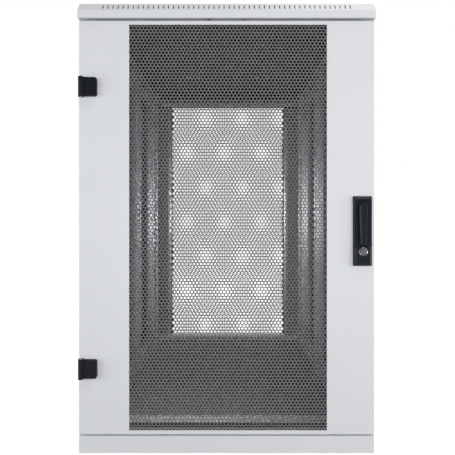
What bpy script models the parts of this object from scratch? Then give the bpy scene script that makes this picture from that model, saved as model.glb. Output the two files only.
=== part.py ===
"""A network server rack cabinet of 18 units: a folded steel frame with four 19-inch rails, two
perforated doors, two lift-off side panels and a roof lid with vent slots.

Metres, +Z up, the front door towards -Y. The origin is on the floor, in the middle of the cabinet.
"""

import math

import bmesh
import bpy
import numpy as np
from mathutils import Matrix, Vector

# Overall
WIDTH = 0.600
DEPTH = 0.800
RACK_UNITS = 18
UNIT_HEIGHT = 0.04445
FIT = 0.0003

# Frame: folded bars, posts and their sheet
FRAME_SHEET = 0.002
PLINTH_HEIGHT = 0.035
BASE_BAR_RISE = 0.019
TOP_BAR_HEIGHT = 0.0177
BAR_WIDTH = 0.036
BAR_LIP = 0.014
POST_WIDTH = 0.0377
POST_DEPTH = 0.040
POST_LIP = 0.012
POST_MOUTH = 0.0045
BAY_END_CLEARANCE = 0.006

# Floor
FLOOR_SHEET = 0.0015
FLOOR_DROP = 0.014
CABLE_ENTRY_WIDTH = 0.280
CABLE_ENTRY_DEPTH = 0.100
CABLE_ENTRY_FROM_REAR = 0.060
COVER_OVERLAP = 0.012
COVER_SHEET = 0.0012

# Levelling feet
FOOT_PAD_RADIUS = 0.018
FOOT_PAD_HEIGHT = 0.008
FOOT_STUD_RADIUS = 0.005
FOOT_STUD_LENGTH = 0.040
FOOT_INSET = 0.030
FOOT_GROUND_CLEARANCE = 0.001
FOOT_FLANGE_HEIGHT = 0.022
FOOT_FLANGE_LIP = 0.0035

# 19-inch rails and the depth rails that carry them
BAY_WIDTH = 0.450
RAIL_WIDTH = 0.0245
RAIL_DEPTH = 0.040
RAIL_RETURN = 0.012
RAIL_HOLE = 0.0095
RAIL_HOLE_FROM_BAY = 0.00756
UNIT_HOLE_PLACES = (0.00635, 0.022225, 0.0381)
FRONT_RAIL_SETBACK = 0.280
REAR_RAIL_SETBACK = 0.220
DEPTH_RAIL_HEIGHT = 0.030
DEPTH_RAIL_WIDTH = 0.0134
DEPTH_RAIL_SHEET = 0.0015

# Roof
ROOF_SHEET = 0.0015
ROOF_HEIGHT = 0.0345
ROOF_LIP_HEIGHT = 0.0157
ROOF_SLOPE_RUN = 0.0156
ROOF_SIDE_OVERHANG = 0.0025
ROOF_END_OVERHANG = 0.003
ROOF_FLANGE = 0.058
SLOT_COUNT = 50
SLOT_PITCH = 0.0103
SLOT_WIDTH = 0.002
SLOT_LENGTH = 0.014
FAN_PLATE_WIDTH = 0.180
FAN_PLATE_LENGTH = 0.320
FAN_PLATE_SHEET = 0.0012
FAN_PLATE_SEAM = 0.0012
FAN_PLATE_OVERLAP = 0.018
FAN_PLATE_END_OVERLAP = 0.030

# Side panels and their latches
PANEL_SHEET = 0.0012
PANEL_THICKNESS = 0.012
PANEL_LATCH_DROP = 0.030
PANEL_LATCH_INSET = 0.127
LATCH_HEAD_RADIUS = 0.009
LATCH_HEAD_HEIGHT = 0.0015
LATCH_SHAFT_RADIUS = 0.006
LATCH_CAM_LENGTH = 0.022
LATCH_CAM_WIDTH = 0.012
LATCH_CAM_SHEET = 0.002
LATCH_CAM_DEPTH = 0.005
LATCH_SLOT_LENGTH = 0.0099

# Doors
DOOR_SHEET = 0.0015
DOOR_THICKNESS = 0.020
DOOR_SEAL_GAP = 0.003
DOOR_GAP_BELOW = 0.0032
DOOR_GAP_ABOVE = 0.0050
WINDOW_WIDTH = 0.402
WINDOW_OFFSET = 0.0028
WINDOW_END_BORDER = 0.008
WINDOW_LEDGE = 0.010
MESH_SHEET = 0.0012
GRID_COLUMNS = 9
GRID_ROWS = 18
FRONT_GRID_SHARE = 0.71
REAR_GRID_SHARE = 0.86

# Hinges
HINGE_RADIUS = 0.0057
HINGE_HEIGHT = 0.0413
HINGE_KNUCKLES = 5
HINGE_PIN_RADIUS = 0.002
HINGE_LEAF_WIDTH = 0.026
HINGE_LEAF_HEIGHT = 0.038
HINGE_LEAF_THICKNESS = 0.008
HINGE_LEAF_ROUNDING = 0.004
HINGE_ARM_THICKNESS = 0.0062
HINGE_FOOT_THICKNESS = 0.002
HINGE_FOOT_REACH = 0.026
HINGE_NOTCH_CLEARANCE = 0.0012
HINGE_FROM_DOOR_TOP = 0.1355
HINGE_FROM_DOOR_BOTTOM = 0.1346

# Swing handle of the front door
HANDLE_FROM_EDGE = 0.0245
HANDLE_MIDDLE = 0.4135
HANDLE_WIDTH = 0.0384
HANDLE_LENGTH = 0.1413
HANDLE_PLATE = 0.003
HANDLE_BLOCK = 0.0095
HANDLE_TOP_BLOCK = 0.0085
HANDLE_LOCK_BLOCK = 0.040
LEVER_WIDTH = 0.0177
LEVER_THICKNESS = 0.0059
LEVER_SEAT = 0.0025
LEVER_END_CLEARANCE = 0.0018
LEVER_HEAD_CLEARANCE = 0.0025
LEVER_SLOT = 0.0068
LEVER_PIN_RADIUS = 0.0012
LEVER_PIN_RISE = 0.005
LEVER_PIN_DEPTH = 0.0025
TONGUE_CLEARANCE = 0.0004
SPINDLE_RADIUS = 0.006
CAM_LENGTH = 0.020
CAM_WIDTH = 0.012
CAM_SHEET = 0.0018
LOCK_FROM_BLOCK_END = 0.0295
BARREL_RADIUS = 0.0093
BARREL_PROUD = 0.001
BARREL_DEPTH = 0.014
PLUG_RADIUS = 0.006
PLUG_PROUD = 0.0008
KEY_SLOT_LENGTH = 0.008
KEY_SLOT_WIDTH = 0.0014
KEY_SLOT_DEPTH = 0.005

# Lock of the rear door
REAR_LOCK_PROUD = 0.004

# Earthing lead, laid on the floor between two places on the right base bar: each point of its
# route is how far it lies in from that bar, and its y
EARTH_LEAD_RADIUS = 0.0021
EARTH_LEAD_ROUTE = (
    (0.0, -0.318),
    (0.0197, -0.318),
    (0.0397, -0.316),
    (0.0537, -0.303),
    (0.0577, -0.275),
    (0.0547, -0.220),
    (0.0477, -0.150),
    (0.0397, -0.070),
    (0.0327, 0.000),
    (0.0307, 0.050),
    (0.0252, 0.080),
    (0.0137, 0.094),
    (0.0060, 0.096),
    (0.0, 0.096),
)
EARTH_LEAD_POINTS = 44

ROUND_SIDES = 24
SMALL_ROUND_SIDES = 12
KNUCKLE_SIDES = 16
SHARP_ANGLE = math.radians(40)

# Heights and planes that follow from the sizes above
base_top = PLINTH_HEIGHT + BASE_BAR_RISE
bay_bottom = base_top + BAY_END_CLEARANCE
bay_top = bay_bottom + RACK_UNITS * UNIT_HEIGHT
top_bar_bottom = bay_top + BAY_END_CLEARANCE
frame_top = top_bar_bottom + TOP_BAR_HEIGHT
roof_bottom = frame_top + FIT
roof_top = roof_bottom + ROOF_HEIGHT
door_bottom = PLINTH_HEIGHT + DOOR_GAP_BELOW
door_top = roof_bottom - DOOR_GAP_ABOVE
half_width = WIDTH / 2
half_depth = DEPTH / 2
frame_x = half_width - PANEL_THICKNESS - FIT
frame_y = half_depth - DOOR_THICKNESS - DOOR_SEAL_GAP
inner_x = frame_x - BAR_WIDTH
inner_y = frame_y - BAR_WIDTH
floor_top = base_top - FLOOR_DROP
rail_outer_x = BAY_WIDTH / 2 + RAIL_WIDTH


def collection(name):
    """A new collection in the scene."""
    made = bpy.data.collections.new(name)
    bpy.context.scene.collection.children.link(made)
    return made


def finish(name, colour, roughness, metallic=0.0):
    """A Principled material of one colour."""
    made = bpy.data.materials.new(name)
    made.use_nodes = True
    shader = made.node_tree.nodes["Principled BSDF"]
    shader.inputs["Base Color"].default_value = (*colour, 1.0)
    shader.inputs["Roughness"].default_value = roughness
    shader.inputs["Metallic"].default_value = metallic
    return made


def placed(name, shell, material, at, parent):
    """A mesh as an object: a piece if it has a material, else a hidden helper for a Boolean."""
    mesh = bpy.data.meshes.new(name)
    shell.to_mesh(mesh)
    shell.free()
    made = bpy.data.objects.new(name, mesh)
    made.location = at
    made.parent = parent
    if material:
        mesh.materials.append(material)
        pieces.objects.link(made)
    else:
        made.hide_render = True
        made.display_type = "WIRE"
        helpers.objects.link(made)
    return made


def pivot(name, at, parent=None, turn=0.0):
    """An empty on a joint's axis, turned about Z."""
    made = bpy.data.objects.new(name, None)
    made.location = at
    made.rotation_euler.z = turn
    made.parent = parent
    made.empty_display_size = 0.02
    pieces.objects.link(made)
    return made


def block(name, low, high, material=None, parent=None):
    """A box between two opposite corners, its origin in its middle."""
    low, high = Vector(low), Vector(high)
    shell = bmesh.new()
    bmesh.ops.create_cube(shell, size=1, matrix=Matrix.Diagonal((*(high - low), 1)))
    return placed(name, shell, material, (low + high) / 2, parent)


def rod(name, radius, centre, span, axis, material=None, parent=None, sides=ROUND_SIDES):
    """A cylinder along an axis, from span[0] to span[1], its origin at centre on that axis."""
    turn = {
        "X": Matrix.Rotation(math.pi / 2, 4, "Y"),
        "Y": Matrix.Rotation(-math.pi / 2, 4, "X"),
        "Z": Matrix.Identity(4),
    }[axis]
    at = Vector(centre)
    at["XYZ".index(axis)] = sum(span) / 2
    shell = bmesh.new()
    bmesh.ops.create_cone(
        shell,
        cap_ends=True,
        segments=sides,
        radius1=radius,
        radius2=radius,
        depth=abs(span[1] - span[0]),
        matrix=turn,
    )
    made = placed(name, shell, material, at, parent)
    made.data.shade_smooth()
    made.data.set_sharp_from_angle(angle=SHARP_ANGLE)
    return made


def along(axis, across, distance):
    """The point at a place (a, b) of a section that stands across an axis."""
    a, b = across
    return {"X": (distance, a, b), "Y": (a, distance, b), "Z": (a, b, distance)}[axis]


def folded(name, outline, span, axis, thickness, material, parent=None):
    """A folded sheet: the outline of its outer face, swept along an axis, with its wall inside."""
    shell = bmesh.new()
    points = [shell.verts.new(along(axis, point, span[0])) for point in outline]
    edges = [shell.edges.new(pair) for pair in zip(points, points[1:])]
    swept = bmesh.ops.extrude_edge_only(shell, edges=edges)["geom"]
    move = Vector(along(axis, (0, 0), span[1] - span[0]))
    ends = [item for item in swept if isinstance(item, bmesh.types.BMVert)]
    bmesh.ops.translate(shell, verts=ends, vec=move)
    made = placed(name, shell, material, (0, 0, 0), parent)
    wall = made.modifiers.new("wall", "SOLIDIFY")
    wall.thickness = thickness
    wall.offset = -1
    wall.use_even_offset = True
    return made


def mirrored(outline, flip_first=True):
    """The outline on the other side: one coordinate negated and its order reversed."""
    if flip_first:
        return [(-a, b) for a, b in reversed(outline)]
    return [(a, -b) for a, b in reversed(outline)]


def prism(name, outline, span, axis, material=None, parent=None):
    """A closed outline swept along an axis."""
    shell = bmesh.new()
    face = shell.faces.new([shell.verts.new(along(axis, point, span[0])) for point in outline])
    swept = bmesh.ops.extrude_face_region(shell, geom=[face])["geom"]
    move = Vector(along(axis, (0, 0), span[1] - span[0]))
    ends = [item for item in swept if isinstance(item, bmesh.types.BMVert)]
    bmesh.ops.translate(shell, verts=ends, vec=move)
    bmesh.ops.recalc_face_normals(shell, faces=shell.faces)
    return placed(name, shell, material, (0, 0, 0), parent)


def boxes(name, places, size, turn=Matrix.Identity(3), parent=None):
    """A hidden helper of equal boxes, each turned about its own middle."""
    shell = bmesh.new()
    for place in places:
        frame = Matrix.Translation(place) @ turn.to_4x4() @ Matrix.Diagonal((*size, 1))
        bmesh.ops.create_cube(shell, size=1, matrix=frame)
    return placed(name, shell, None, (0, 0, 0), parent)


def combine(piece, operation, *others):
    """Boolean modifiers of one kind, one for each helper."""
    for other in others:
        step = piece.modifiers.new(other.name, "BOOLEAN")
        step.operation = operation
        step.object = other
        step.solver = "EXACT"


def cut(piece, *others):
    combine(piece, "DIFFERENCE", *others)


def join(piece, *others):
    combine(piece, "UNION", *others)


for old in list(bpy.data.objects):
    bpy.data.objects.remove(old, do_unlink=True)
pieces = collection("server_rack_cabinet")
helpers = collection("cutters")

grey_paint = finish("grey_paint", (0.70, 0.71, 0.73), 0.45)
zinc = finish("zinc", (0.62, 0.63, 0.65), 0.35, 1.0)
black_plastic = finish("black_plastic", (0.018, 0.019, 0.022), 0.45)
chrome = finish("chrome", (0.75, 0.76, 0.78), 0.15, 1.0)
black_metal = finish("black_metal", (0.018, 0.019, 0.023), 0.45)
mesh_paint = finish("mesh_paint", (0.165, 0.165, 0.172), 0.45)
lead_sheath = finish("lead_sheath", (0.02, 0.02, 0.02), 0.5)


def base_frame():
    """The plinth: front and rear rails over the full width, and side rails between them."""
    ledge = DOOR_THICKNESS + DOOR_SEAL_GAP
    front = [
        (-half_depth, 0),
        (-half_depth, PLINTH_HEIGHT),
        (-half_depth + ledge, PLINTH_HEIGHT),
        (-half_depth + ledge, base_top),
        (-inner_y, base_top),
        (-inner_y, base_top - BAR_LIP - FLOOR_SHEET - FIT),
    ]
    span = (-half_width, half_width)
    front_rail = folded("base_front_rail", front, span, "X", FRAME_SHEET, grey_paint)
    rear_rail = folded("base_rear_rail", mirrored(front), span, "X", FRAME_SHEET, grey_paint)
    for side, sign in (("left", -1), ("right", 1)):
        x = sorted((sign * frame_x, sign * WIDTH))
        low = (x[0], -half_depth, PLINTH_HEIGHT + FIT / 2)
        high = (x[1], half_depth, 2 * base_top)
        corner = block(f"panel_corner_{side}", low, high)
        cut(front_rail, corner)
        cut(rear_rail, corner)

    right = [
        (half_width, 0),
        (half_width, PLINTH_HEIGHT),
        (frame_x, PLINTH_HEIGHT),
        (frame_x, base_top),
        (inner_x, base_top),
        (inner_x, FOOT_FLANGE_HEIGHT - FRAME_SHEET),
        (frame_x - FOOT_FLANGE_LIP, FOOT_FLANGE_HEIGHT - FRAME_SHEET),
    ]
    reach = inner_y - FIT
    tab_end = half_depth - FRAME_SHEET - FIT
    for side, sign in (("left", -1), ("right", 1)):
        outline = right if sign > 0 else mirrored(right)
        rail = folded(f"base_{side}_rail", outline, (-reach, reach), "Y", FRAME_SHEET, grey_paint)
        for end in (-1, 1):
            x = sorted((sign * half_width, sign * (half_width - FRAME_SHEET)))
            y = sorted((end * (reach - FRAME_SHEET), end * tab_end))
            top = PLINTH_HEIGHT - FRAME_SHEET - FIT
            tab = block(f"corner_tab_{side}_{end}", (x[0], y[0], 0), (x[1], y[1], top))
            join(rail, tab)
            place = (sign * foot_x, end * foot_y, 0)
            span = (0, FOOT_FLANGE_HEIGHT + FIT)
            hole = rod(f"foot_hole_{side}_{end}", FOOT_STUD_RADIUS + FIT, place, span, "Z")
            cut(rail, hole)


foot_x = (inner_x + frame_x) / 2
foot_y = inner_y - FOOT_INSET


def levelling_feet():
    """Four feet, wound up into the plinth: a rubber-shod pad on a threaded stud."""
    pad_bottom = FOOT_GROUND_CLEARANCE
    pad_top = pad_bottom + FOOT_PAD_HEIGHT
    stud_top = pad_top + FOOT_STUD_LENGTH
    for row, end in (("front", -1), ("rear", 1)):
        for side, sign in (("left", -1), ("right", 1)):
            name = f"foot_{row}_{side}"
            place = (sign * foot_x, end * foot_y, 0)
            span = (pad_bottom, pad_top)
            pad = rod(name, FOOT_PAD_RADIUS, place, span, "Z", zinc)
            span = (pad_top - FRAME_SHEET, stud_top)
            stud = rod(f"{name}_stud", FOOT_STUD_RADIUS, place, span, "Z", sides=SMALL_ROUND_SIDES)
            join(pad, stud)


def corner_posts():
    """Four C-shaped posts between the base and the top bars."""
    inside = frame_x - POST_WIDTH
    rear_face = frame_y - POST_DEPTH
    outline = [
        (inside + POST_MOUTH, -rear_face),
        (frame_x, -rear_face),
        (frame_x, -frame_y),
        (inside, -frame_y),
        (inside, -frame_y + POST_LIP),
    ]
    span = (base_top + FIT, top_bar_bottom - FIT)
    for row in ("front", "rear"):
        for side in ("left", "right"):
            section = outline
            if side == "left":
                section = mirrored(section)
            if row == "rear":
                section = mirrored(section, flip_first=False)
            folded(f"post_{row}_{side}", section, span, "Z", FRAME_SHEET, grey_paint)


def top_frame():
    """Four C-shaped bars that carry the roof."""
    front = [
        (-inner_y, top_bar_bottom),
        (-frame_y, top_bar_bottom),
        (-frame_y, frame_top),
        (-inner_y, frame_top),
    ]
    span = (-frame_x, frame_x)
    folded("top_front_rail", front, span, "X", FRAME_SHEET, grey_paint)
    folded("top_rear_rail", mirrored(front), span, "X", FRAME_SHEET, grey_paint)
    right = [
        (inner_x, top_bar_bottom),
        (frame_x, top_bar_bottom),
        (frame_x, frame_top),
        (inner_x, frame_top),
    ]
    reach = (-inner_y + FIT, inner_y - FIT)
    folded("top_right_rail", right, reach, "Y", FRAME_SHEET, grey_paint)
    folded("top_left_rail", mirrored(right), reach, "Y", FRAME_SHEET, grey_paint)


def floor():
    """The floor panel, with a cable entry at the rear and the cover that closes it."""
    x = inner_x - FIT
    y = inner_y - FIT
    low = (-x, -y, floor_top - FLOOR_SHEET)
    panel = block("floor_panel", low, (x, y, floor_top), grey_paint)
    entry_x = CABLE_ENTRY_WIDTH / 2
    entry_rear = inner_y - CABLE_ENTRY_FROM_REAR
    entry_front = entry_rear - CABLE_ENTRY_DEPTH
    low = (-entry_x, entry_front, floor_top - 2 * FLOOR_SHEET)
    entry = block("cable_entry", low, (entry_x, entry_rear, floor_top + FLOOR_SHEET))
    cut(panel, entry)
    over = COVER_OVERLAP
    low = (-entry_x - over, entry_front - over, floor_top + FIT)
    high = (entry_x + over, entry_rear + over, floor_top + FIT + COVER_SHEET)
    block("floor_cable_cover", low, high, grey_paint)


def rack_rails():
    """Four 19-inch rails with three square holes for each unit, and the depth rails beside them."""
    flange = BAY_WIDTH / 2
    face = half_depth - FRONT_RAIL_SETBACK
    outline = [
        (rail_outer_x - RAIL_RETURN, -face + RAIL_DEPTH),
        (rail_outer_x, -face + RAIL_DEPTH),
        (rail_outer_x, -face),
        (flange, -face),
    ]
    heights = [
        bay_bottom + unit * UNIT_HEIGHT + place
        for unit in range(RACK_UNITS)
        for place in UNIT_HOLE_PLACES
    ]
    span = (base_top + FIT, top_bar_bottom - FIT)
    shift = REAR_RAIL_SETBACK - FRONT_RAIL_SETBACK
    size = (RAIL_HOLE, 4 * FRAME_SHEET, RAIL_HOLE)
    for row in ("front", "rear"):
        for side, sign in (("left", -1), ("right", 1)):
            section = outline
            hole_y = -face
            if row == "rear":
                section = mirrored([(a, b + shift) for a, b in outline], flip_first=False)
                hole_y = face - shift
            if side == "left":
                section = mirrored(section)
            name = f"rack_rail_{row}_{side}"
            rail = folded(name, section, span, "Z", FRAME_SHEET, zinc)
            hole_x = sign * (flange + RAIL_HOLE_FROM_BAY)
            places = [(hole_x, hole_y, z) for z in heights]
            cut(rail, boxes(f"{name}_holes", places, size))

    near = rail_outer_x + FIT
    far = near + DEPTH_RAIL_WIDTH
    reach = frame_y - POST_DEPTH - FIT
    for level, low in (
        ("lower", base_top + FIT),
        ("upper", top_bar_bottom - FIT - DEPTH_RAIL_HEIGHT),
    ):
        high = low + DEPTH_RAIL_HEIGHT
        right = [(far, high), (near, high), (near, low), (far, low)]
        for side, section in (("left", mirrored(right)), ("right", right)):
            name = f"depth_rail_{level}_{side}"
            folded(name, section, (-reach, reach), "Y", DEPTH_RAIL_SHEET, zinc)


def roof_outline(inset):
    """The roof's section across its length, moved inwards by a wall."""
    slope = math.atan2(ROOF_HEIGHT - ROOF_LIP_HEIGHT, ROOF_SLOPE_RUN)
    end = half_depth + ROOF_END_OVERHANG - inset
    knee = roof_bottom + ROOF_LIP_HEIGHT - inset * math.tan((math.pi / 2 - slope) / 2)
    crest = end - ROOF_SLOPE_RUN - inset * (math.tan(slope / 2) - 1)
    bottom = roof_bottom + inset
    top = roof_top - inset
    return [(-end, bottom), (-end, knee), (-crest, top), (crest, top), (end, knee), (end, bottom)]


def roof_slots():
    """The places of the vent slots in the front and rear slopes."""
    middle_y = half_depth + ROOF_END_OVERHANG - ROOF_SLOPE_RUN / 2
    middle_z = roof_bottom + (ROOF_LIP_HEIGHT + ROOF_HEIGHT) / 2
    xs = [(index - (SLOT_COUNT - 1) / 2) * SLOT_PITCH for index in range(SLOT_COUNT)]
    slope = math.atan2(ROOF_HEIGHT - ROOF_LIP_HEIGHT, ROOF_SLOPE_RUN)
    size = (SLOT_WIDTH, SLOT_LENGTH, 4 * ROOF_SHEET)
    for name, end in (("front", -1), ("rear", 1)):
        turn = Matrix.Rotation(-end * slope, 3, "X")
        yield boxes(f"slots_{name}", [(x, end * middle_y, middle_z) for x in xs], size, turn)


def roof():
    """The roof lid: a folded tray, open below, with vent slots in its slopes and two fan
    cut-outs that plates close from below."""
    half = half_width + ROOF_SIDE_OVERHANG
    lid = prism("roof", roof_outline(0), (-half, half), "X", grey_paint)
    inner = half - ROOF_SHEET
    cut(lid, prism("roof_hollow", roof_outline(ROOF_SHEET), (-inner, inner), "X"))
    x = half - ROOF_FLANGE
    y = half_depth + ROOF_END_OVERHANG - ROOF_FLANGE
    low = (-x, -y, roof_bottom - ROOF_SHEET)
    cut(lid, block("roof_mouth", low, (x, y, roof_bottom + 2 * ROOF_SHEET)))
    cut(lid, *roof_slots())

    plate_top = roof_top - ROOF_SHEET - FIT
    y = FAN_PLATE_LENGTH / 2
    for side, sign in (("left", -1), ("right", 1)):
        near = FAN_PLATE_SEAM / 2
        far = near + FAN_PLATE_WIDTH
        x = sorted((sign * near, sign * far))
        low = (x[0], -y, plate_top - FAN_PLATE_SHEET)
        block(f"fan_plate_{side}", low, (x[1], y, plate_top), grey_paint)
        cut_y = y - FAN_PLATE_END_OVERLAP
        low = (x[0] + FAN_PLATE_OVERLAP, -cut_y, plate_top)
        high = (x[1] - FAN_PLATE_OVERLAP, cut_y, roof_top + ROOF_SHEET)
        cut(lid, block(f"fan_opening_{side}", low, high))


def side_panels():
    """Two pans that tilt out about their lower outer edge, each with two quarter-turn latches."""
    y = frame_y
    height = door_top - door_bottom
    for side, sign in (("left", -1), ("right", 1)):
        axis = pivot(f"{side}_panel_pivot", (sign * half_width, 0, door_bottom))
        x = sorted((0, -sign * PANEL_THICKNESS))
        name = f"side_panel_{side}"
        panel = block(name, (x[0], -y, 0), (x[1], y, height), grey_paint, axis)
        hollow = sorted((-sign * PANEL_SHEET, -sign * 2 * PANEL_THICKNESS))
        wall = PANEL_SHEET
        low = (hollow[0], -y + wall, wall)
        high = (hollow[1], y - wall, height - wall)
        cut(panel, block(f"{name}_hollow", low, high, parent=axis))
        for row, end in (("front", -1), ("rear", 1)):
            place = (0, end * (y - PANEL_LATCH_INSET), height - PANEL_LATCH_DROP)
            latch_axis = pivot(f"{side}_latch_{row}_pivot", place, axis)
            span = (-sign * 3 * PANEL_SHEET, sign * PANEL_SHEET)
            radius = LATCH_SHAFT_RADIUS + FIT
            centre = (0, 0, 0)
            name = f"{side}_latch_{row}"
            cut(panel, rod(f"{name}_hole", radius, centre, span, "X", parent=latch_axis))
            side_latch(name, sign, latch_axis)


def side_latch(name, sign, axis):
    """A quarter-turn latch: a round head outside, a shaft, and a cam that points up."""
    centre = (0, 0, 0)
    span = (sign * FIT, sign * (FIT + LATCH_HEAD_HEIGHT))
    head = rod(name, LATCH_HEAD_RADIUS, centre, span, "X", black_plastic, axis)
    inner = LATCH_CAM_DEPTH + LATCH_CAM_SHEET
    span = (sign * (FIT + LATCH_HEAD_HEIGHT / 2), -sign * (inner + FIT))
    shaft = rod(f"{name}_shaft", LATCH_SHAFT_RADIUS, centre, span, "X", parent=axis)
    x = sorted((-sign * LATCH_CAM_DEPTH, -sign * inner))
    half = LATCH_CAM_WIDTH / 2
    low = (x[0], -half, -half)
    cam = block(f"{name}_cam", low, (x[1], half, LATCH_CAM_LENGTH), parent=axis)
    join(head, shaft, cam)
    x = sorted((sign * (FIT + LATCH_HEAD_HEIGHT / 2), sign * (FIT + 2 * LATCH_HEAD_HEIGHT)))
    low = (x[0], -KEY_SLOT_WIDTH / 2, -LATCH_SLOT_LENGTH / 2)
    high = (x[1], KEY_SLOT_WIDTH / 2, LATCH_SLOT_LENGTH / 2)
    cut(head, block(f"{name}_slot", low, high, parent=axis))


hinge_inset = HINGE_RADIUS
hinge_proud = HINGE_RADIUS + FIT
door_height = door_top - door_bottom
knuckle = HINGE_HEIGHT / HINGE_KNUCKLES
hinge_heights = {
    "lower": door_bottom + HINGE_FROM_DOOR_BOTTOM,
    "upper": door_top - HINGE_FROM_DOOR_TOP,
}


def grid_openings(name, low, high, share, axis):
    """A helper of equal openings in columns and rows, spread between two corners of a window."""
    pitch_x = (high[0] - low[0]) / GRID_COLUMNS
    pitch_z = (high[2] - low[2]) / GRID_ROWS
    y = (low[1] + high[1]) / 2
    places = [
        (low[0] + (column + 0.5) * pitch_x, y, low[2] + (row + 0.5) * pitch_z)
        for column in range(GRID_COLUMNS)
        for row in range(GRID_ROWS)
    ]
    return boxes(name, places, (share * pitch_x, high[1] - low[1], share * pitch_z), parent=axis)


def door(row, axis, share):
    """A door pan with a window, its sheet with a grid of openings and its halves of the hinges.

    Its frame stands on the hinge axis: +X across the door, +Y into the cabinet."""
    left = -hinge_inset
    right = left + WIDTH
    face = hinge_proud
    back = face + DOOR_THICKNESS
    wall = DOOR_SHEET
    low = (left, face, door_bottom)
    frame = block(f"{row}_door_frame", low, (right, back, door_top), grey_paint, axis)

    middle = (left + right) / 2 + WINDOW_OFFSET
    window_x = WINDOW_WIDTH / 2
    ledge_x = window_x + WINDOW_LEDGE
    bottom = door_bottom + wall
    top = door_top - wall
    end = back + wall
    hollows = {
        "middle": (middle - ledge_x, middle + ledge_x),
        "hinge_side": (left + wall, middle - ledge_x - wall),
        "lock_side": (middle + ledge_x + wall, right - wall),
    }
    for name, (x_low, x_high) in hollows.items():
        low = (x_low, face + wall, bottom)
        cut(frame, block(f"{row}_{name}_hollow", low, (x_high, end, top), parent=axis))
    low = (middle - window_x, face - wall, door_bottom + WINDOW_END_BORDER)
    high = (middle + window_x, face + 2 * wall, door_top - WINDOW_END_BORDER)
    cut(frame, block(f"{row}_window", low, high, parent=axis))

    sheet_y = face + wall + FIT
    low = (middle - ledge_x + FIT, sheet_y, bottom + FIT)
    high = (middle + ledge_x - FIT, sheet_y + MESH_SHEET, top - FIT)
    sheet = block(f"{row}_perforated_sheet", low, high, mesh_paint, axis)
    low = (middle - window_x, sheet_y - wall, door_bottom + WINDOW_END_BORDER)
    high = (middle + window_x, sheet_y + 2 * wall, door_top - WINDOW_END_BORDER)
    cut(sheet, grid_openings(f"{row}_grid", low, high, share, axis))

    notch_high = knuckle * (HINGE_KNUCKLES - 2) / 2 + HINGE_NOTCH_CLEARANCE
    notch_x = HINGE_ARM_THICKNESS - HINGE_RADIUS + FIT + HINGE_NOTCH_CLEARANCE
    for place, height in hinge_heights.items():
        low = (left - wall, face - wall, height - notch_high)
        high = (notch_x, end, height + notch_high)
        cut(frame, block(f"{row}_notch_{place}", low, high, parent=axis))
        hinge_leaf(f"{row}_hinge_leaf_{place}", height, axis)
    return frame


def knuckles(name, height, indexes, radius, parent):
    """Helper cylinders for some of a hinge's knuckles, with running gaps between them."""
    made = []
    for index in indexes:
        low = height - HINGE_HEIGHT / 2 + index * knuckle
        span = (low + FIT / 2, low + knuckle - FIT / 2)
        part_name = f"{name}_knuckle_{index}"
        helper = rod(part_name, radius, (0, 0, 0), span, "Z", parent=parent, sides=KNUCKLE_SIDES)
        made.append((helper, span))
    return made


def pin_bore(name, height, radius, parent):
    """The bore through all of a hinge's knuckles."""
    reach = HINGE_HEIGHT / 2 + HINGE_RADIUS
    span = (height - reach, height + reach)
    return rod(name, radius, (0, 0, 0), span, "Z", parent=parent, sides=SMALL_ROUND_SIDES)


def hinge_leaf(name, height, axis):
    """A hinge's door half: a thick rounded leaf on the door's face with the odd knuckles."""
    left = HINGE_RADIUS + FIT
    right = left + HINGE_LEAF_WIDTH
    back = HINGE_RADIUS
    front = back - HINGE_LEAF_THICKNESS
    half = HINGE_LEAF_HEIGHT / 2
    low = (left, front, height - half)
    leaf = block(name, low, (right, back, height + half), black_metal, axis)
    rounding = leaf.modifiers.new("corners", "BEVEL")
    rounding.width = HINGE_LEAF_ROUNDING
    rounding.segments = 2
    rounding.limit_method = "WEIGHT"
    weights = leaf.data.attributes.new("bevel_weight_edge", "FLOAT", "EDGE")
    for edge in leaf.data.edges:
        ends = [leaf.data.vertices[index].co for index in edge.vertices]
        outer = all(point.x > 0 for point in ends)
        across = abs(ends[0].y - ends[1].y) > HINGE_LEAF_THICKNESS / 2
        weights.data[edge.index].value = 1.0 if outer and across else 0.0
    odd = range(0, HINGE_KNUCKLES, 2)
    for knuckle_rod, span in knuckles(name, height, odd, HINGE_RADIUS, axis):
        clipped = (max(span[0], height - half), min(span[1], height + half))
        low = (0, front / 2, clipped[0] + FIT / 2)
        high = (left + HINGE_RADIUS / 2, back, clipped[1] - FIT / 2)
        bridge = block(f"{knuckle_rod.name}_bridge", low, high, parent=axis)
        join(leaf, knuckle_rod, bridge)
    cut(leaf, pin_bore(f"{name}_bore", height, HINGE_PIN_RADIUS + FIT, axis))


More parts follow.
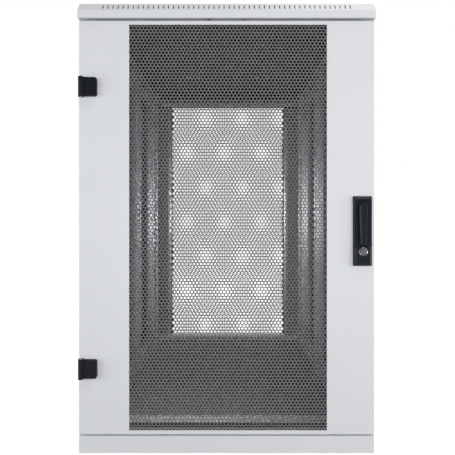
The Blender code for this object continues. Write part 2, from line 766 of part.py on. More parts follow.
def hinge_bracket(row, place, axis):
    """A hinge's frame half, with the even knuckles on an arm from the corner post, and its pin."""
    height = hinge_heights[place]
    name = f"{row}_hinge_bracket_{place}"
    left = -HINGE_RADIUS + FIT
    right = left + HINGE_ARM_THICKNESS
    behind = HINGE_RADIUS + FIT
    post_face = hinge_proud + DOOR_THICKNESS + DOOR_SEAL_GAP
    back = post_face - FIT
    half = knuckle * (HINGE_KNUCKLES - 2) / 2 - FIT / 2
    low = (left, behind, height - half)
    arm = block(name, low, (right, back, height + half), black_metal, axis)
    low = (left, back - HINGE_FOOT_THICKNESS, height - half)
    foot = block(f"{name}_foot", low, (HINGE_FOOT_REACH, back, height + half), parent=axis)
    join(arm, foot)
    for knuckle_rod, span in knuckles(name, height, range(1, HINGE_KNUCKLES, 2), HINGE_RADIUS, axis):
        low = (left, 0, span[0])
        neck = block(f"{knuckle_rod.name}_neck", low, (right, 2 * behind, span[1]), parent=axis)
        join(arm, knuckle_rod, neck)
    cut(arm, pin_bore(f"{name}_bore", height, HINGE_PIN_RADIUS + FIT, axis))
    reach = HINGE_HEIGHT / 2
    span = (height - reach, height + reach)
    pin = f"{row}_hinge_pin_{place}"
    rod(pin, HINGE_PIN_RADIUS, (0, 0, 0), span, "Z", zinc, axis, SMALL_ROUND_SIDES)


def lock(row, frame, axis, proud):
    """A key lock on the door's face: a fixed barrel and the plug that turns in it.

    The frame of axis stands on the lock's own axis at the door's outer face, +Y inwards."""
    span = (-proud, BARREL_DEPTH)
    centre = (0, 0, 0)
    barrel = rod(f"{row}_lock_barrel", BARREL_RADIUS, centre, span, "Y", chrome, axis)
    through = (-proud - BARREL_DEPTH, 2 * BARREL_DEPTH)
    bore_radius = PLUG_RADIUS + FIT
    cut(barrel, rod(f"{row}_plug_bore", bore_radius, centre, through, "Y", parent=axis))
    seat_radius = BARREL_RADIUS + FIT
    seat = rod(f"{row}_lock_seat", seat_radius, centre, through, "Y", parent=axis)
    cut(frame, seat)
    front = -proud - PLUG_PROUD
    return front, seat


def key_slot(name, plug, front, axis):
    """The key's slot in a plug's face."""
    half_x = KEY_SLOT_WIDTH / 2
    half_z = KEY_SLOT_LENGTH / 2
    low = (-half_x, front - KEY_SLOT_DEPTH, -half_z)
    high = (half_x, front + KEY_SLOT_DEPTH, half_z)
    cut(plug, block(f"{name}_key_slot", low, high, parent=axis))


def cam(name, back, length, axis):
    """A flat cam at the rear end of a spindle, which points to the door's free edge."""
    half = CAM_WIDTH / 2
    low = (-half, back - CAM_SHEET, -half)
    return block(f"{name}_cam", low, (length, back, half), parent=axis)


lock_x = WIDTH - hinge_inset - HANDLE_FROM_EDGE
cam_back = DOOR_THICKNESS + DOOR_SEAL_GAP - 2 * FIT


def swing_handle(frame, door_axis):
    """The front door's handle: a plate with an end block and a lock block, a lever that folds out
    about a pin and turns the spindle, and a key lock."""
    bottom = door_bottom + HANDLE_MIDDLE - HANDLE_LENGTH / 2
    top = bottom + HANDLE_LENGTH
    half = HANDLE_WIDTH / 2
    face = hinge_proud
    base_axis = pivot("handle_pivot", (lock_x, face, bottom), door_axis)
    plate_front = -FIT - HANDLE_PLATE
    block_front = -FIT - HANDLE_BLOCK
    low = (-half, plate_front, 0)
    base = block("front_handle_base", low, (half, -FIT, HANDLE_LENGTH), black_plastic, base_axis)
    low = (-half, block_front, HANDLE_LENGTH - HANDLE_TOP_BLOCK)
    high = (half, -FIT, HANDLE_LENGTH)
    end_block = block("handle_end_block", low, high, parent=base_axis)
    low = (-half, block_front, 0)
    high = (half, -FIT, HANDLE_LOCK_BLOCK)
    lock_block = block("handle_lock_block", low, high, parent=base_axis)
    join(base, end_block, lock_block)

    lock_place = (lock_x, face, bottom + LOCK_FROM_BLOCK_END)
    lock_axis = pivot("front_lock_pivot", lock_place, door_axis)
    front, seat = lock("front", frame, lock_axis, FIT + HANDLE_BLOCK + BARREL_PROUD)
    cut(base, seat)
    name = "front_lock_plug"
    span = (front, BARREL_DEPTH)
    plug = rod(name, PLUG_RADIUS, (0, 0, 0), span, "Y", chrome, lock_axis, SMALL_ROUND_SIDES)
    key_slot(name, plug, front, lock_axis)

    head_radius = LEVER_WIDTH / 2
    spindle_z = top - HANDLE_TOP_BLOCK - LEVER_HEAD_CLEARANCE - head_radius
    spindle_axis = pivot("spindle_pivot", (lock_x, face, spindle_z), door_axis)
    through = (2 * plate_front, DOOR_THICKNESS)
    centre = (0, 0, 0)
    radius = SPINDLE_RADIUS + FIT
    hole = rod("spindle_hole", radius, centre, through, "Y", parent=spindle_axis)
    cut(frame, hole)
    cut(base, hole)
    lever_back = plate_front - LEVER_SEAT
    lever_front = lever_back - LEVER_THICKNESS
    spindle_front = plate_front - LEVER_SEAT / 2
    name = "front_spindle"
    span = (spindle_front, cam_back)
    spindle = rod(name, SPINDLE_RADIUS, centre, span, "Y", zinc, spindle_axis)
    pin_y = lever_back - LEVER_PIN_DEPTH
    pin_z = LEVER_PIN_RISE
    tongue_x = LEVER_SLOT / 2 - TONGUE_CLEARANCE
    tongue_reach = LEVER_PIN_RADIUS * 2
    low = (-tongue_x, pin_y - tongue_reach, -tongue_reach)
    high = (tongue_x, (spindle_front + plate_front) / 2, pin_z + tongue_reach)
    tongue = block("spindle_tongue", low, high, parent=spindle_axis)
    join(spindle, tongue, cam(name, cam_back, CAM_LENGTH, spindle_axis))
    pin_axis = pivot("lever_pivot", (0, pin_y, pin_z), spindle_axis)
    across = (-head_radius - FIT, head_radius + FIT)
    bore_radius = LEVER_PIN_RADIUS + FIT
    bore = rod(
        "lever_pin_bore", bore_radius, centre, across, "X", parent=pin_axis, sides=SMALL_ROUND_SIDES
    )
    cut(spindle, bore)
    span = (-head_radius + 2 * FIT, head_radius - 2 * FIT)
    rod("front_lever_pin", LEVER_PIN_RADIUS, centre, span, "X", zinc, pin_axis, SMALL_ROUND_SIDES)

    lever_end = HANDLE_LOCK_BLOCK + LEVER_END_CLEARANCE
    reach = spindle_z - bottom - lever_end
    low = (-head_radius, lever_front - pin_y, -reach - pin_z)
    high = (head_radius, lever_back - pin_y, -pin_z)
    lever = block("front_lever", low, high, black_plastic, pin_axis)
    head_span = (lever_front, lever_back)
    head = rod("lever_head", head_radius, centre, head_span, "Y", parent=spindle_axis)
    join(lever, head)
    slot_bottom = -tongue_reach - SPINDLE_RADIUS / 2
    half_slot = LEVER_SLOT / 2
    low = (-half_slot, 2 * lever_front, slot_bottom)
    high = (half_slot, 0, 2 * head_radius)
    slot = block("lever_slot", low, high, parent=spindle_axis)
    cut(lever, slot, bore)


def rear_lock(frame, door_axis):
    """The rear door's quarter-turn key lock, whose plug carries the cam."""
    place = (lock_x, hinge_proud, door_bottom + HANDLE_MIDDLE)
    axis = pivot("rear_lock_pivot", place, door_axis)
    front, _ = lock("rear", frame, axis, REAR_LOCK_PROUD)
    name = "rear_lock_plug"
    span = (front, cam_back)
    plug = rod(name, PLUG_RADIUS, (0, 0, 0), span, "Y", chrome, axis, SMALL_ROUND_SIDES)
    join(plug, cam(name, cam_back, CAM_LENGTH, axis))
    key_slot(name, plug, front, axis)


def doors():
    """The front door hangs on the left, and the rear door is its twin, turned half round."""
    for row, sign, share in (("front", -1, FRONT_GRID_SHARE), ("rear", 1, REAR_GRID_SHARE)):
        place = (sign * (half_width - hinge_inset), sign * (half_depth + hinge_proud), 0)
        turn = math.pi if row == "rear" else 0.0
        axis = pivot(f"{row}_door_pivot", place, turn=turn)
        frame = door(row, axis, share)
        if row == "front":
            swing_handle(frame, axis)
        else:
            rear_lock(frame, axis)
        for height in hinge_heights:
            hinge_bracket(row, height, axis)


def earth_lead():
    """The earthing lead: a sheathed wire along the floor, joined to the right base bar twice."""
    radius = EARTH_LEAD_RADIUS
    lying = floor_top + 2 * FIT + radius
    edge = inner_x - FIT
    knots = np.array([(edge - inwards, y, lying) for inwards, y in EARTH_LEAD_ROUTE])
    lengths = np.linalg.norm(np.diff(knots, axis=0), axis=1)
    places = np.concatenate([[0], np.cumsum(lengths)])
    count = EARTH_LEAD_POINTS
    smooth = smooth_route(knots, places, np.linspace(0, places[-1], count))
    curve = bpy.data.curves.new("earth_lead", "CURVE")
    curve.dimensions = "3D"
    curve.bevel_depth = radius
    curve.bevel_resolution = 2
    curve.use_fill_caps = True
    spline = curve.splines.new("POLY")
    spline.points.add(count - 1)
    for point, place in zip(spline.points, smooth):
        point.co = (*place, 1)
    made = bpy.data.objects.new("earth_lead", curve)
    curve.materials.append(lead_sheath)
    pieces.objects.link(made)


def smooth_route(knots, places, wanted):
    """Points on a smooth curve through the knots: a cubic Hermite span between each pair, with
    tangents from the neighbours."""
    tangents = np.gradient(knots, places, axis=0)
    span = np.clip(np.searchsorted(places, wanted, side="right") - 1, 0, len(places) - 2)
    width = (places[span + 1] - places[span])[:, None]
    t = (wanted - places[span])[:, None] / width
    start, end = knots[span], knots[span + 1]
    start_pull, end_pull = tangents[span] * width, tangents[span + 1] * width
    return (
        (2 * t**3 - 3 * t**2 + 1) * start
        + (t**3 - 2 * t**2 + t) * start_pull
        + (3 * t**2 - 2 * t**3) * end
        + (t**3 - t**2) * end_pull
    )


base_frame()
levelling_feet()
corner_posts()
top_frame()
floor()
rack_rails()
roof()
side_panels()
doors()
earth_lead()
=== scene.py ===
import math

import bmesh
import bpy
import numpy as np
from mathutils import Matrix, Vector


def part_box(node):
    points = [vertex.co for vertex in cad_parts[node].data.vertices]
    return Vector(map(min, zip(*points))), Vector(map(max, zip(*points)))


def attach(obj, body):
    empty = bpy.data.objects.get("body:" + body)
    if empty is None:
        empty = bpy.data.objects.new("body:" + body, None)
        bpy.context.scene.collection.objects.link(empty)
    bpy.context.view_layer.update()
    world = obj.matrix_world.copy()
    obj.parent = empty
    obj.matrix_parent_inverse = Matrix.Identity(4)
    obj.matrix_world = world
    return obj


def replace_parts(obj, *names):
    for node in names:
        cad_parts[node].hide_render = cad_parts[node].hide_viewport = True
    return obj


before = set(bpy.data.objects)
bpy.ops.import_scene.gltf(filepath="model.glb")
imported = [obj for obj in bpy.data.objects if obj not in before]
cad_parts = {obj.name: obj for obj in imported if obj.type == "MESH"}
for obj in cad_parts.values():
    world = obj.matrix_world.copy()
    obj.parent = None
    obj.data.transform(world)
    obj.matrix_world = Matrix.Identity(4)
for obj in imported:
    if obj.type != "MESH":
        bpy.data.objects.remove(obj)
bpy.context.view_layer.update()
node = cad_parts

# The studio: a white floor and a white surround that only a direct look or a polished surface
# sees, so the walls of the room add little light to the cabinet. Lamps stand high and low at both
# sides, above the lid, beside the viewer and behind, and a weak one hangs inside the front door.
scene = bpy.context.scene
scene.view_settings.view_transform = "Standard"
ROOM_GLOW = 0.02
ROOM_TINT = (0.97, 0.98, 1.0, 1.0)
WHITE = (1.0, 1.0, 1.0, 1.0)
POLISH_SHARE = 0.45


def number_node(tree, operation, first, second):
    """A node that makes one number of two, each of them another node's output or a float."""
    made = tree.nodes.new("ShaderNodeMath")
    made.operation = operation
    for socket, value in zip(made.inputs, (first, second)):
        if isinstance(value, float):
            socket.default_value = value
        else:
            tree.links.new(value, socket)
    return made.outputs[0]


def mix_by_ray(tree, plain, seen, reflected=1.0):
    """One closure for light that bounces, and another for what is looked at: the largest of
    Is Camera Ray, Is Transmission Ray and a share of Is Glossy Ray chooses."""
    ray = tree.nodes.new("ShaderNodeLightPath").outputs
    mirrored = number_node(tree, "MULTIPLY", ray["Is Glossy Ray"], reflected)
    looked_at = number_node(tree, "MAXIMUM", ray["Is Camera Ray"], mirrored)
    looked_at = number_node(tree, "MAXIMUM", looked_at, ray["Is Transmission Ray"])
    choice = tree.nodes.new("ShaderNodeMixShader")
    tree.links.new(looked_at, choice.inputs["Fac"])
    tree.links.new(plain, choice.inputs[1])
    tree.links.new(seen, choice.inputs[2])
    return choice.outputs[0]


world = bpy.data.worlds.new("white_room")
scene.world = world
world.use_nodes = True
tree = world.node_tree
glow = tree.nodes["Background"]
glow.inputs["Color"].default_value = ROOM_TINT
glow.inputs["Strength"].default_value = ROOM_GLOW
surround = tree.nodes.new("ShaderNodeBackground")
surround.inputs["Color"].default_value = WHITE
seen_world = mix_by_ray(tree, glow.outputs[0], surround.outputs[0], POLISH_SHARE)
tree.links.new(seen_world, tree.nodes["World Output"].inputs["Surface"])

# The floor is matt and takes the cabinet's shadow. Its own glow lifts it to white where it is
# looked at, all but near the cabinet, where it is a little weaker as a painted shade round it.
FLOOR_REACH = 9.0
FLOOR_GREY = (0.24, 0.243, 0.25, 1.0)
FLOOR_ROUGHNESS = 0.9
GLOW_NEAR, GLOW_FAR = 0.84, 1.0
NEAR_REACH, FAR_REACH = 0.6, 2.2
floor_mesh = bpy.data.meshes.new("studio_floor")
corner = np.array([(-1, -1, 0), (1, -1, 0), (1, 1, 0), (-1, 1, 0)]) * FLOOR_REACH
floor_mesh.from_pydata(corner.tolist(), [], [(0, 1, 2, 3)])
studio_floor = bpy.data.objects.new("studio_floor", floor_mesh)
scene.collection.objects.link(studio_floor)
floor_paint = bpy.data.materials.new("studio_floor")
floor_paint.use_nodes = True
tree = floor_paint.node_tree
matt = tree.nodes["Principled BSDF"]
matt.inputs["Base Color"].default_value = FLOOR_GREY
matt.inputs["Roughness"].default_value = FLOOR_ROUGHNESS
lit = tree.nodes.new("ShaderNodeEmission")
ground = tree.nodes.new("ShaderNodeTexCoord")
how_far = tree.nodes.new("ShaderNodeVectorMath")
how_far.operation = "LENGTH"
tree.links.new(ground.outputs["Object"], how_far.inputs[0])
brighter = tree.nodes.new("ShaderNodeMapRange")
brighter.inputs["From Min"].default_value = NEAR_REACH
brighter.inputs["From Max"].default_value = FAR_REACH
brighter.inputs["To Min"].default_value = GLOW_NEAR
brighter.inputs["To Max"].default_value = GLOW_FAR
tree.links.new(how_far.outputs["Value"], brighter.inputs["Value"])
tree.links.new(brighter.outputs["Result"], lit.inputs["Strength"])
sum_of = tree.nodes.new("ShaderNodeAddShader")
tree.links.new(matt.outputs[0], sum_of.inputs[0])
tree.links.new(lit.outputs[0], sum_of.inputs[1])
seen_floor = mix_by_ray(tree, matt.outputs[0], sum_of.outputs[0])
tree.links.new(seen_floor, tree.nodes["Material Output"].inputs["Surface"])
floor_mesh.materials.append(floor_paint)


def soft_lamp(name, place, target, size, power, colour, cone):
    """A rectangular area lamp at a place, turned to face a target: it is tipped up from straight
    down by atan2(level distance, drop), and turned about z by atan2(-dx, dy). Its light stays
    within a cone of so many degrees."""
    data = bpy.data.lights.new(name, "AREA")
    data.shape = "RECTANGLE"
    data.size, data.size_y = size
    data.energy = power
    data.color = colour
    data.spread = math.radians(cone)
    lamp = bpy.data.objects.new(name, data)
    lamp.location = place
    towards = np.array(target, float) - np.array(place, float)
    level = math.hypot(towards[0], towards[1])
    tip = math.atan2(level, -towards[2])
    turn = math.atan2(-towards[0], towards[1])
    lamp.rotation_euler = (tip, 0.0, turn)
    scene.collection.objects.link(lamp)


# Name, place, target, size, power, colour and cone of each. The small one beside the viewer draws
# the highlights down the rails, the low ones graze the doors so that the inside stays dark, and
# the one behind the top of the front door lights a little of the cabinet's own floor.
WARM = (1.0, 0.995, 0.985)
COOL = (0.965, 0.985, 1.0)
AMBER = (1.0, 0.985, 0.97)
CLEAR = (1.0, 1.0, 1.0)
DOOR = (0.0, -0.42, 0.46)
DOOR_FOOT = (0.0, -0.4, 0.3)
REAR = (0.0, 0.3, 0.5)
for lamp_row in (
    ("right_lamp", (1.65, -1.60, 0.88), DOOR, (0.45, 0.35), 12.5, WARM, 180),
    ("left_lamp", (-1.65, -1.60, 0.88), DOOR, (0.45, 0.35), 8.5, COOL, 180),
    ("right_low_lamp", (2.2, -0.98, 0.30), DOOR_FOOT, (0.6, 0.5), 14.0, WARM, 180),
    ("left_low_lamp", (-2.2, -0.98, 0.30), DOOR_FOOT, (0.6, 0.5), 13.0, COOL, 180),
    ("lid_lamp", (0.8, -1.05, 2.8), (0.0, -0.3, 0.9), (1.2, 0.5), 20.0, CLEAR, 180),
    ("top_lamp", (0.7, -0.1, 3.1), (0.1, 0.0, 0.9), (1.0, 0.8), 11.0, CLEAR, 180),
    ("viewer_lamp", (-0.02, -1.90, 0.49), (0.0, -0.1, 0.49), (0.16, 0.12), 9.0, CLEAR, 180),
    ("sill_lamp", (-0.09, -0.310, 0.84), (-0.09, -0.300, 0.04), (0.28, 0.05), 0.09, AMBER, 35),
    ("right_rear_lamp", (2.3, 1.50, 0.70), REAR, (0.6, 0.5), 32.0, CLEAR, 180),
    ("left_rear_lamp", (-2.3, 1.50, 0.70), REAR, (0.6, 0.5), 32.0, CLEAR, 180),
    ("rear_lamp", (0.3, 1.6, 2.3), REAR, (0.8, 0.5), 20.0, CLEAR, 180),
):
    soft_lamp(*lamp_row)

# The viewer: a level camera one metre in front of the door, a little above the middle, with its
# film dropped so that the verticals stay upright.
VIEW_DISTANCE = 1.009
VIEW_HEIGHT = 0.4869
VIEW_SIDE = 0.0083
LENS_MM, FILM_MM = 39.28, 36.0
FILM_SHIFT = (-0.0070, -0.0304)
view = bpy.data.cameras.new("front_view")
view.lens = LENS_MM
view.sensor_width = FILM_MM
view.shift_x, view.shift_y = FILM_SHIFT
viewer = bpy.data.objects.new("front_view", view)
front_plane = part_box("front_door_frame")[0].y
viewer.location = (VIEW_SIDE, front_plane - VIEW_DISTANCE, VIEW_HEIGHT)
viewer.rotation_euler = (math.pi / 2, 0.0, 0.0)
scene.collection.objects.link(viewer)
scene.camera = viewer

# The frame, panels, doors and lid: steel sheet under a light grey fine-texture powder coat. The
# coat has a close orange-peel grain, a faint cloudiness from the spray, and a satin shine.
GREY = (0.70, 0.712, 0.73)
CLOUD_SCALE = 7.0


def coat(name, colour, shine, grain, grain_height, cloud=0.03, metal=0.0, spread=0.08, gloss=0.5):
    """A coated surface: its colour between 1 - cloud and 1 + cloud times the one given, by a slow
    noise; its roughness within half the spread of the shine, by a fine noise with the grain's
    size in metres; and a bump of that fine noise, as high as the grain's height."""
    made = bpy.data.materials.new(name)
    made.use_nodes = True
    nodes, links = made.node_tree.nodes, made.node_tree.links
    shader = nodes["Principled BSDF"]
    shader.inputs["Metallic"].default_value = metal
    shader.inputs["Specular IOR Level"].default_value = gloss
    place = nodes.new("ShaderNodeTexCoord")
    slow = nodes.new("ShaderNodeTexNoise")
    slow.inputs["Scale"].default_value = CLOUD_SCALE
    slow.inputs["Detail"].default_value = 4.0
    links.new(place.outputs["Object"], slow.inputs["Vector"])
    fine = nodes.new("ShaderNodeTexNoise")
    fine.inputs["Scale"].default_value = 1.0 / grain
    fine.inputs["Detail"].default_value = 2.0
    links.new(place.outputs["Object"], fine.inputs["Vector"])
    tone = nodes.new("ShaderNodeMix")
    tone.data_type = "RGBA"
    dark = [part * (1 - cloud) for part in colour]
    light = [min(part * (1 + cloud), 1.0) for part in colour]
    tone.inputs[6].default_value = (*dark, 1.0)
    tone.inputs[7].default_value = (*light, 1.0)
    links.new(slow.outputs["Fac"], tone.inputs["Factor"])
    links.new(tone.outputs[2], shader.inputs["Base Color"])
    rough = nodes.new("ShaderNodeMapRange")
    rough.inputs["To Min"].default_value = shine - spread / 2
    rough.inputs["To Max"].default_value = shine + spread / 2
    links.new(fine.outputs["Fac"], rough.inputs["Value"])
    links.new(rough.outputs["Result"], shader.inputs["Roughness"])
    bump = nodes.new("ShaderNodeBump")
    bump.inputs["Strength"].default_value = 0.5
    bump.inputs["Distance"].default_value = grain_height
    links.new(fine.outputs["Fac"], bump.inputs["Height"])
    links.new(bump.outputs["Normal"], shader.inputs["Normal"])
    return made


grey_paint = coat("grey_powder_coat", GREY, 0.42, 0.0011, 0.00006, gloss=0.25)

# Folded sheet steel shows a small radius at every fold and cut edge. Each sheet part is a copy of
# its solid with its flat faces joined again and its edges rounded. Inside, the coat is quite matt
# and its grey is darkened as painted shade, darkest on the lid's inner faces and on undersides.
FOLD_RADIUS = 0.0006
FOLD_TURN, FLAT_TURN, SHARP_TURN = 30, 0.5, 50
MERGE_REACH = 0.00001
SKIN_DEPTH = 0.001
INSIDE_SHADE_GREY = (0.27, 0.275, 0.285)
LID_SHADE_GREY = (0.09, 0.092, 0.096)
inside_shade_coat = coat("inside_painted_shade", INSIDE_SHADE_GREY, 0.62, 0.0016, 0.00005, 0.06, gloss=0.03)
lid_shade_coat = coat("lid_painted_shade", LID_SHADE_GREY, 0.62, 0.0016, 0.00005, 0.06, gloss=0.03)


def of_faces(mesh, what):
    """The centre or the normal of every face of a mesh, as rows of x, y and z."""
    rows = np.zeros(3 * len(mesh.polygons))
    mesh.polygons.foreach_get(what, rows)
    return rows.reshape(-1, 3)


def softened(name, radius, material, body="root", inner=None):
    """A copy of a solid that takes its place: its points merged, its flat faces joined, each edge
    of more than 30 degrees rounded with the radius, and its normals weighted by face area. A
    face deeper than SKIN_DEPTH in the node's box that looks to its middle takes the inner coat,
    a darker coat of painted shade."""
    shell = bmesh.new()
    shell.from_mesh(node[name].data)
    bmesh.ops.remove_doubles(shell, verts=shell.verts, dist=MERGE_REACH)
    flat_angle, fold_angle = math.radians(FLAT_TURN), math.radians(FOLD_TURN)
    bmesh.ops.dissolve_limit(shell, angle_limit=flat_angle, verts=shell.verts, edges=shell.edges)
    folds = [edge for edge in shell.edges if edge.calc_face_angle(0.0) > fold_angle]
    bmesh.ops.bevel(
        shell, geom=folds, offset=radius, segments=2, profile=0.5, affect="EDGES",
        clamp_overlap=True, loop_slide=False,
    )
    mesh = bpy.data.meshes.new(f"{name}_softened")
    shell.to_mesh(mesh)
    shell.free()
    mesh.materials.clear()
    mesh.materials.append(material)
    if inner:
        mesh.materials.append(inner)
        low, high = (np.array(corner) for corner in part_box(name))
        centre = of_faces(mesh, "center")
        depth = np.minimum(centre - low, high - centre).min(axis=1)
        inwards = ((low + high) / 2 - centre) * of_faces(mesh, "normal")
        hidden = (depth > SKIN_DEPTH) & (inwards.sum(axis=1) > 0)
        mesh.polygons.foreach_set("material_index", hidden.astype(np.int32))
    mesh.shade_smooth()
    mesh.set_sharp_from_angle(angle=math.radians(SHARP_TURN))
    made = bpy.data.objects.new(f"{name}_softened", mesh)
    scene.collection.objects.link(made)
    even = made.modifiers.new("even", "WEIGHTED_NORMAL")
    even.weight = 100
    even.keep_sharp = True
    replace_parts(made, name)
    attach(made, body)
    return made


def shade_under(piece):
    """The lid's painted shade coat on each face whose normal points down, its z below -0.5."""
    piece.data.materials.append(lid_shade_coat)
    under = of_faces(piece.data, "normal")[:, 2] < -0.5
    piece.data.polygons.foreach_set("material_index", under.astype(np.int32))


# The top bars and fan plates take painted shade on the faces that point down, and the lid, the side
# panels and the door frames take a darker inside coat of painted shade.
for row in ("front", "rear"):
    for side in ("left", "right"):
        softened(f"post_{row}_{side}", FOLD_RADIUS, grey_paint)
for side in ("front", "rear", "left", "right"):
    softened(f"base_{side}_rail", FOLD_RADIUS, grey_paint)
    shade_under(softened(f"top_{side}_rail", FOLD_RADIUS, grey_paint))
# The floor panel and its cable cover take a darker grey, painted shade of the dim inside, whose
# tone varies at random.
FLOOR_SHADE_GREY = (0.14, 0.142, 0.145)
floor_shade_coat = coat("floor_painted_shade_coat", FLOOR_SHADE_GREY, 0.55, 0.0014, 0.00005, 0.12, gloss=0.05)
for name in ("floor_panel", "floor_cable_cover"):
    softened(name, FOLD_RADIUS / 2, floor_shade_coat)
for name in ("fan_plate_left", "fan_plate_right"):
    shade_under(softened(name, FOLD_RADIUS / 2, grey_paint))
softened("roof", FOLD_RADIUS / 2, grey_paint, inner=lid_shade_coat)
for side in ("left", "right"):
    name = f"side_panel_{side}"
    softened(name, FOLD_RADIUS, grey_paint, name, inner=inside_shade_coat)
for row in ("front", "rear"):
    name = f"{row}_door_frame"
    softened(name, FOLD_RADIUS, grey_paint, f"{row}_door", inner=inside_shade_coat)

# The perforated sheets: thin steel punched with staggered round holes in front and with wide
# hexagons at the rear, which leave a narrow web, in a darker grey coat. Each sheet lies behind its
# door's window, whose edge crosses the outer holes, and carries a plain border.
HOLE_PITCH = 0.00733
HOLE_RISE = 0.00625
HOLE_RADIUS = 0.0029
HOLE_SIDES = 12
HONEYCOMB_PITCH = 0.01194
HONEYCOMB_RISE = 0.01025
HONEYCOMB_RADIUS = 0.0059
MESH_GREY = (0.185, 0.185, 0.192)
mesh_paint = coat("dark_grey_powder_coat", MESH_GREY, 0.55, 0.0011, 0.00004, 0.05, gloss=0.06)


def punched(columns, rows, pitch, rise, radius, sides, half_width, half_height):
    """The flat triangles of a staggered punched sheet around (0, 0), and the row of each.

    Each hole stands in a six-sided cell with corners at (0, 2/3 rise) and (pitch/2, 1/3 rise)
    from its centre, mirrored both ways. A ring of triangles joins the hole's corners to them, the
    half cells left at the row ends are plain, and strips fill out to the sheet's edges."""
    row = np.arange(rows)
    third = rise / 3
    height = (row - (rows - 1) / 2) * rise
    cell_column, cell_row = np.meshgrid(np.arange(columns), row)
    keep = (cell_row % 2 == 0) | (cell_column < columns - 1)
    cell_column, cell_row = cell_column[keep], cell_row[keep]
    across = (cell_column - (columns - 1) / 2 + (cell_row % 2) / 2) * pitch
    centre = np.stack([across, height[cell_row]], axis=1)

    corner_turn = np.radians(30 + 60 * np.arange(6))
    corner_x = np.sign(np.round(np.cos(corner_turn), 6)) * pitch / 2
    reach = np.where(np.arange(6) % 3 == 1, 2 / 3 * rise, 1 / 3 * rise)
    corners = np.stack([corner_x, np.sign(np.sin(corner_turn)) * reach], axis=1)
    hole_turn = 2 * np.pi * np.arange(sides) / sides + np.radians(30)
    hole = radius * np.stack([np.cos(hole_turn), np.sin(hole_turn)], axis=1)
    cell = np.concatenate([corners, hole])

    share = sides // 6
    ring = []
    for side in range(6):
        steps = range(side * share - share // 2, side * share + (share + 1) // 2 + 1)
        rim = [6 + step % sides for step in steps]
        ring += [(side, after, before) for before, after in zip(rim, rim[1:])]
        ring += [(side, (side + 1) % 6, rim[-1])]
    points = (centre[:, None, :] + cell[None, :, :])[:, np.array(ring), :].reshape(-1, 3, 2)
    belongs = np.repeat(cell_row, len(ring))

    edge = columns * pitch / 2
    top = height[-1] + 2 * third
    plain, plain_row = [], []

    def quad(a, b, c, d, rows_of):
        """Two triangles for each row of four corner arrays."""
        for corners_of in ((a, b, c), (a, c, d)):
            plain.append(np.stack([np.stack(np.broadcast_arrays(*p), -1) for p in corners_of], 1))
            plain_row.append(np.broadcast_to(rows_of, plain[-1].shape[0]))

    odd = height[1::2]
    ends = np.sort(np.concatenate([height[::2] - third, height[::2] + third]))
    ends = np.concatenate([[-top], ends, [top]])
    end_row = np.clip(np.searchsorted(height, (ends[:-1] + ends[1:]) / 2), 0, rows - 1)
    for sign in (-1.0, 1.0):
        inner, outer, far = sign * (edge - pitch / 2), sign * edge, sign * half_width
        a, b = (outer, odd - 2 * third), (inner, odd - third)
        c, d = (inner, odd + third), (outer, odd + 2 * third)
        quad(a, b, c, d, row[1::2]) if sign < 0 else quad(d, c, b, a, row[1::2])
        a, b = (far, ends[:-1]), (outer, ends[:-1])
        c, d = (outer, ends[1:]), (far, ends[1:])
        quad(a, b, c, d, end_row) if sign < 0 else quad(d, c, b, a, end_row)

    hole_x = (np.arange(columns) - (columns - 1) / 2) * pitch
    peaks = np.concatenate([[-edge], hole_x, [edge]])
    dips = np.concatenate([[-edge], (hole_x[:-1] + hole_x[1:]) / 2, [edge]])
    stations = np.concatenate([[-half_width], peaks, [half_width]])
    for sign, end in ((-1, 0), (1, rows - 1)):
        level = sign * top
        a = np.stack([peaks[:-1], np.full(len(dips), level)], 1)
        b = np.stack([dips, np.full(len(dips), sign * (height[-1] + third))], 1)
        c = np.stack([peaks[1:], np.full(len(dips), level)], 1)
        plain.append(np.stack((a, b, c) if sign > 0 else (c, b, a), 1))
        plain_row.append(np.full(len(dips), end))
        far = sign * half_height
        a, b = (stations[:-1], level), (stations[1:], level)
        c, d = (stations[1:], far), (stations[:-1], far)
        quad(a, b, c, d, end) if sign > 0 else quad(d, c, b, a, end)
    return np.concatenate([points, *plain]), np.concatenate([belongs, *plain_row])


def plate(name, flat, centre, front, back, material):
    """A closed plate from flat triangles in x and z: the same triangles at y = front and,
    reversed, at y = back, with a wall on each edge that only one triangle has."""
    corner, index = np.unique(np.round(flat.reshape(-1, 2), 7), axis=0, return_inverse=True)
    faces = index.reshape(-1, 3)
    count = len(corner)
    ends = np.concatenate([faces[:, [0, 1]], faces[:, [1, 2]], faces[:, [2, 0]]])
    rim = ends[~np.isin(ends[:, 0] * count + ends[:, 1], ends[:, 1] * count + ends[:, 0])]
    a, b = rim[:, 0], rim[:, 1]
    wall = np.stack([b, a, a + count, b + count], axis=1)
    xz = corner + np.array(centre)
    levels = [np.insert(xz, 1, y, axis=1) for y in (front, back)]
    return mesh_piece(name, np.concatenate(levels), [faces, faces[:, ::-1] + count, wall], material)


def mesh_piece(name, points, groups, material):
    """An object from points and groups of faces, each an array with one row of corners a face."""
    mesh = bpy.data.meshes.new(name)
    sizes = np.concatenate([np.full(len(group), group.shape[1]) for group in groups])
    corners = np.concatenate([group.reshape(-1) for group in groups])
    mesh.vertices.add(len(points))
    mesh.vertices.foreach_set("co", np.asarray(points, np.float32).reshape(-1))
    mesh.loops.add(len(corners))
    mesh.loops.foreach_set("vertex_index", corners.astype(np.int32))
    mesh.polygons.add(len(sizes))
    starts = np.concatenate([[0], np.cumsum(sizes)[:-1]])
    mesh.polygons.foreach_set("loop_start", starts.astype(np.int32))
    mesh.update(calc_edges=True)
    mesh.validate()
    mesh.materials.append(material)
    made = bpy.data.objects.new(name, mesh)
    scene.collection.objects.link(made)
    return made


def sheet_span(name):
    """The middle, half sizes and the two faces of a solid sheet that stands across y."""
    low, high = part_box(name)
    middle = ((low.x + high.x) / 2, (low.z + high.z) / 2)
    return middle, (high.x - low.x) / 2, (high.z - low.z) / 2, low.y, high.y


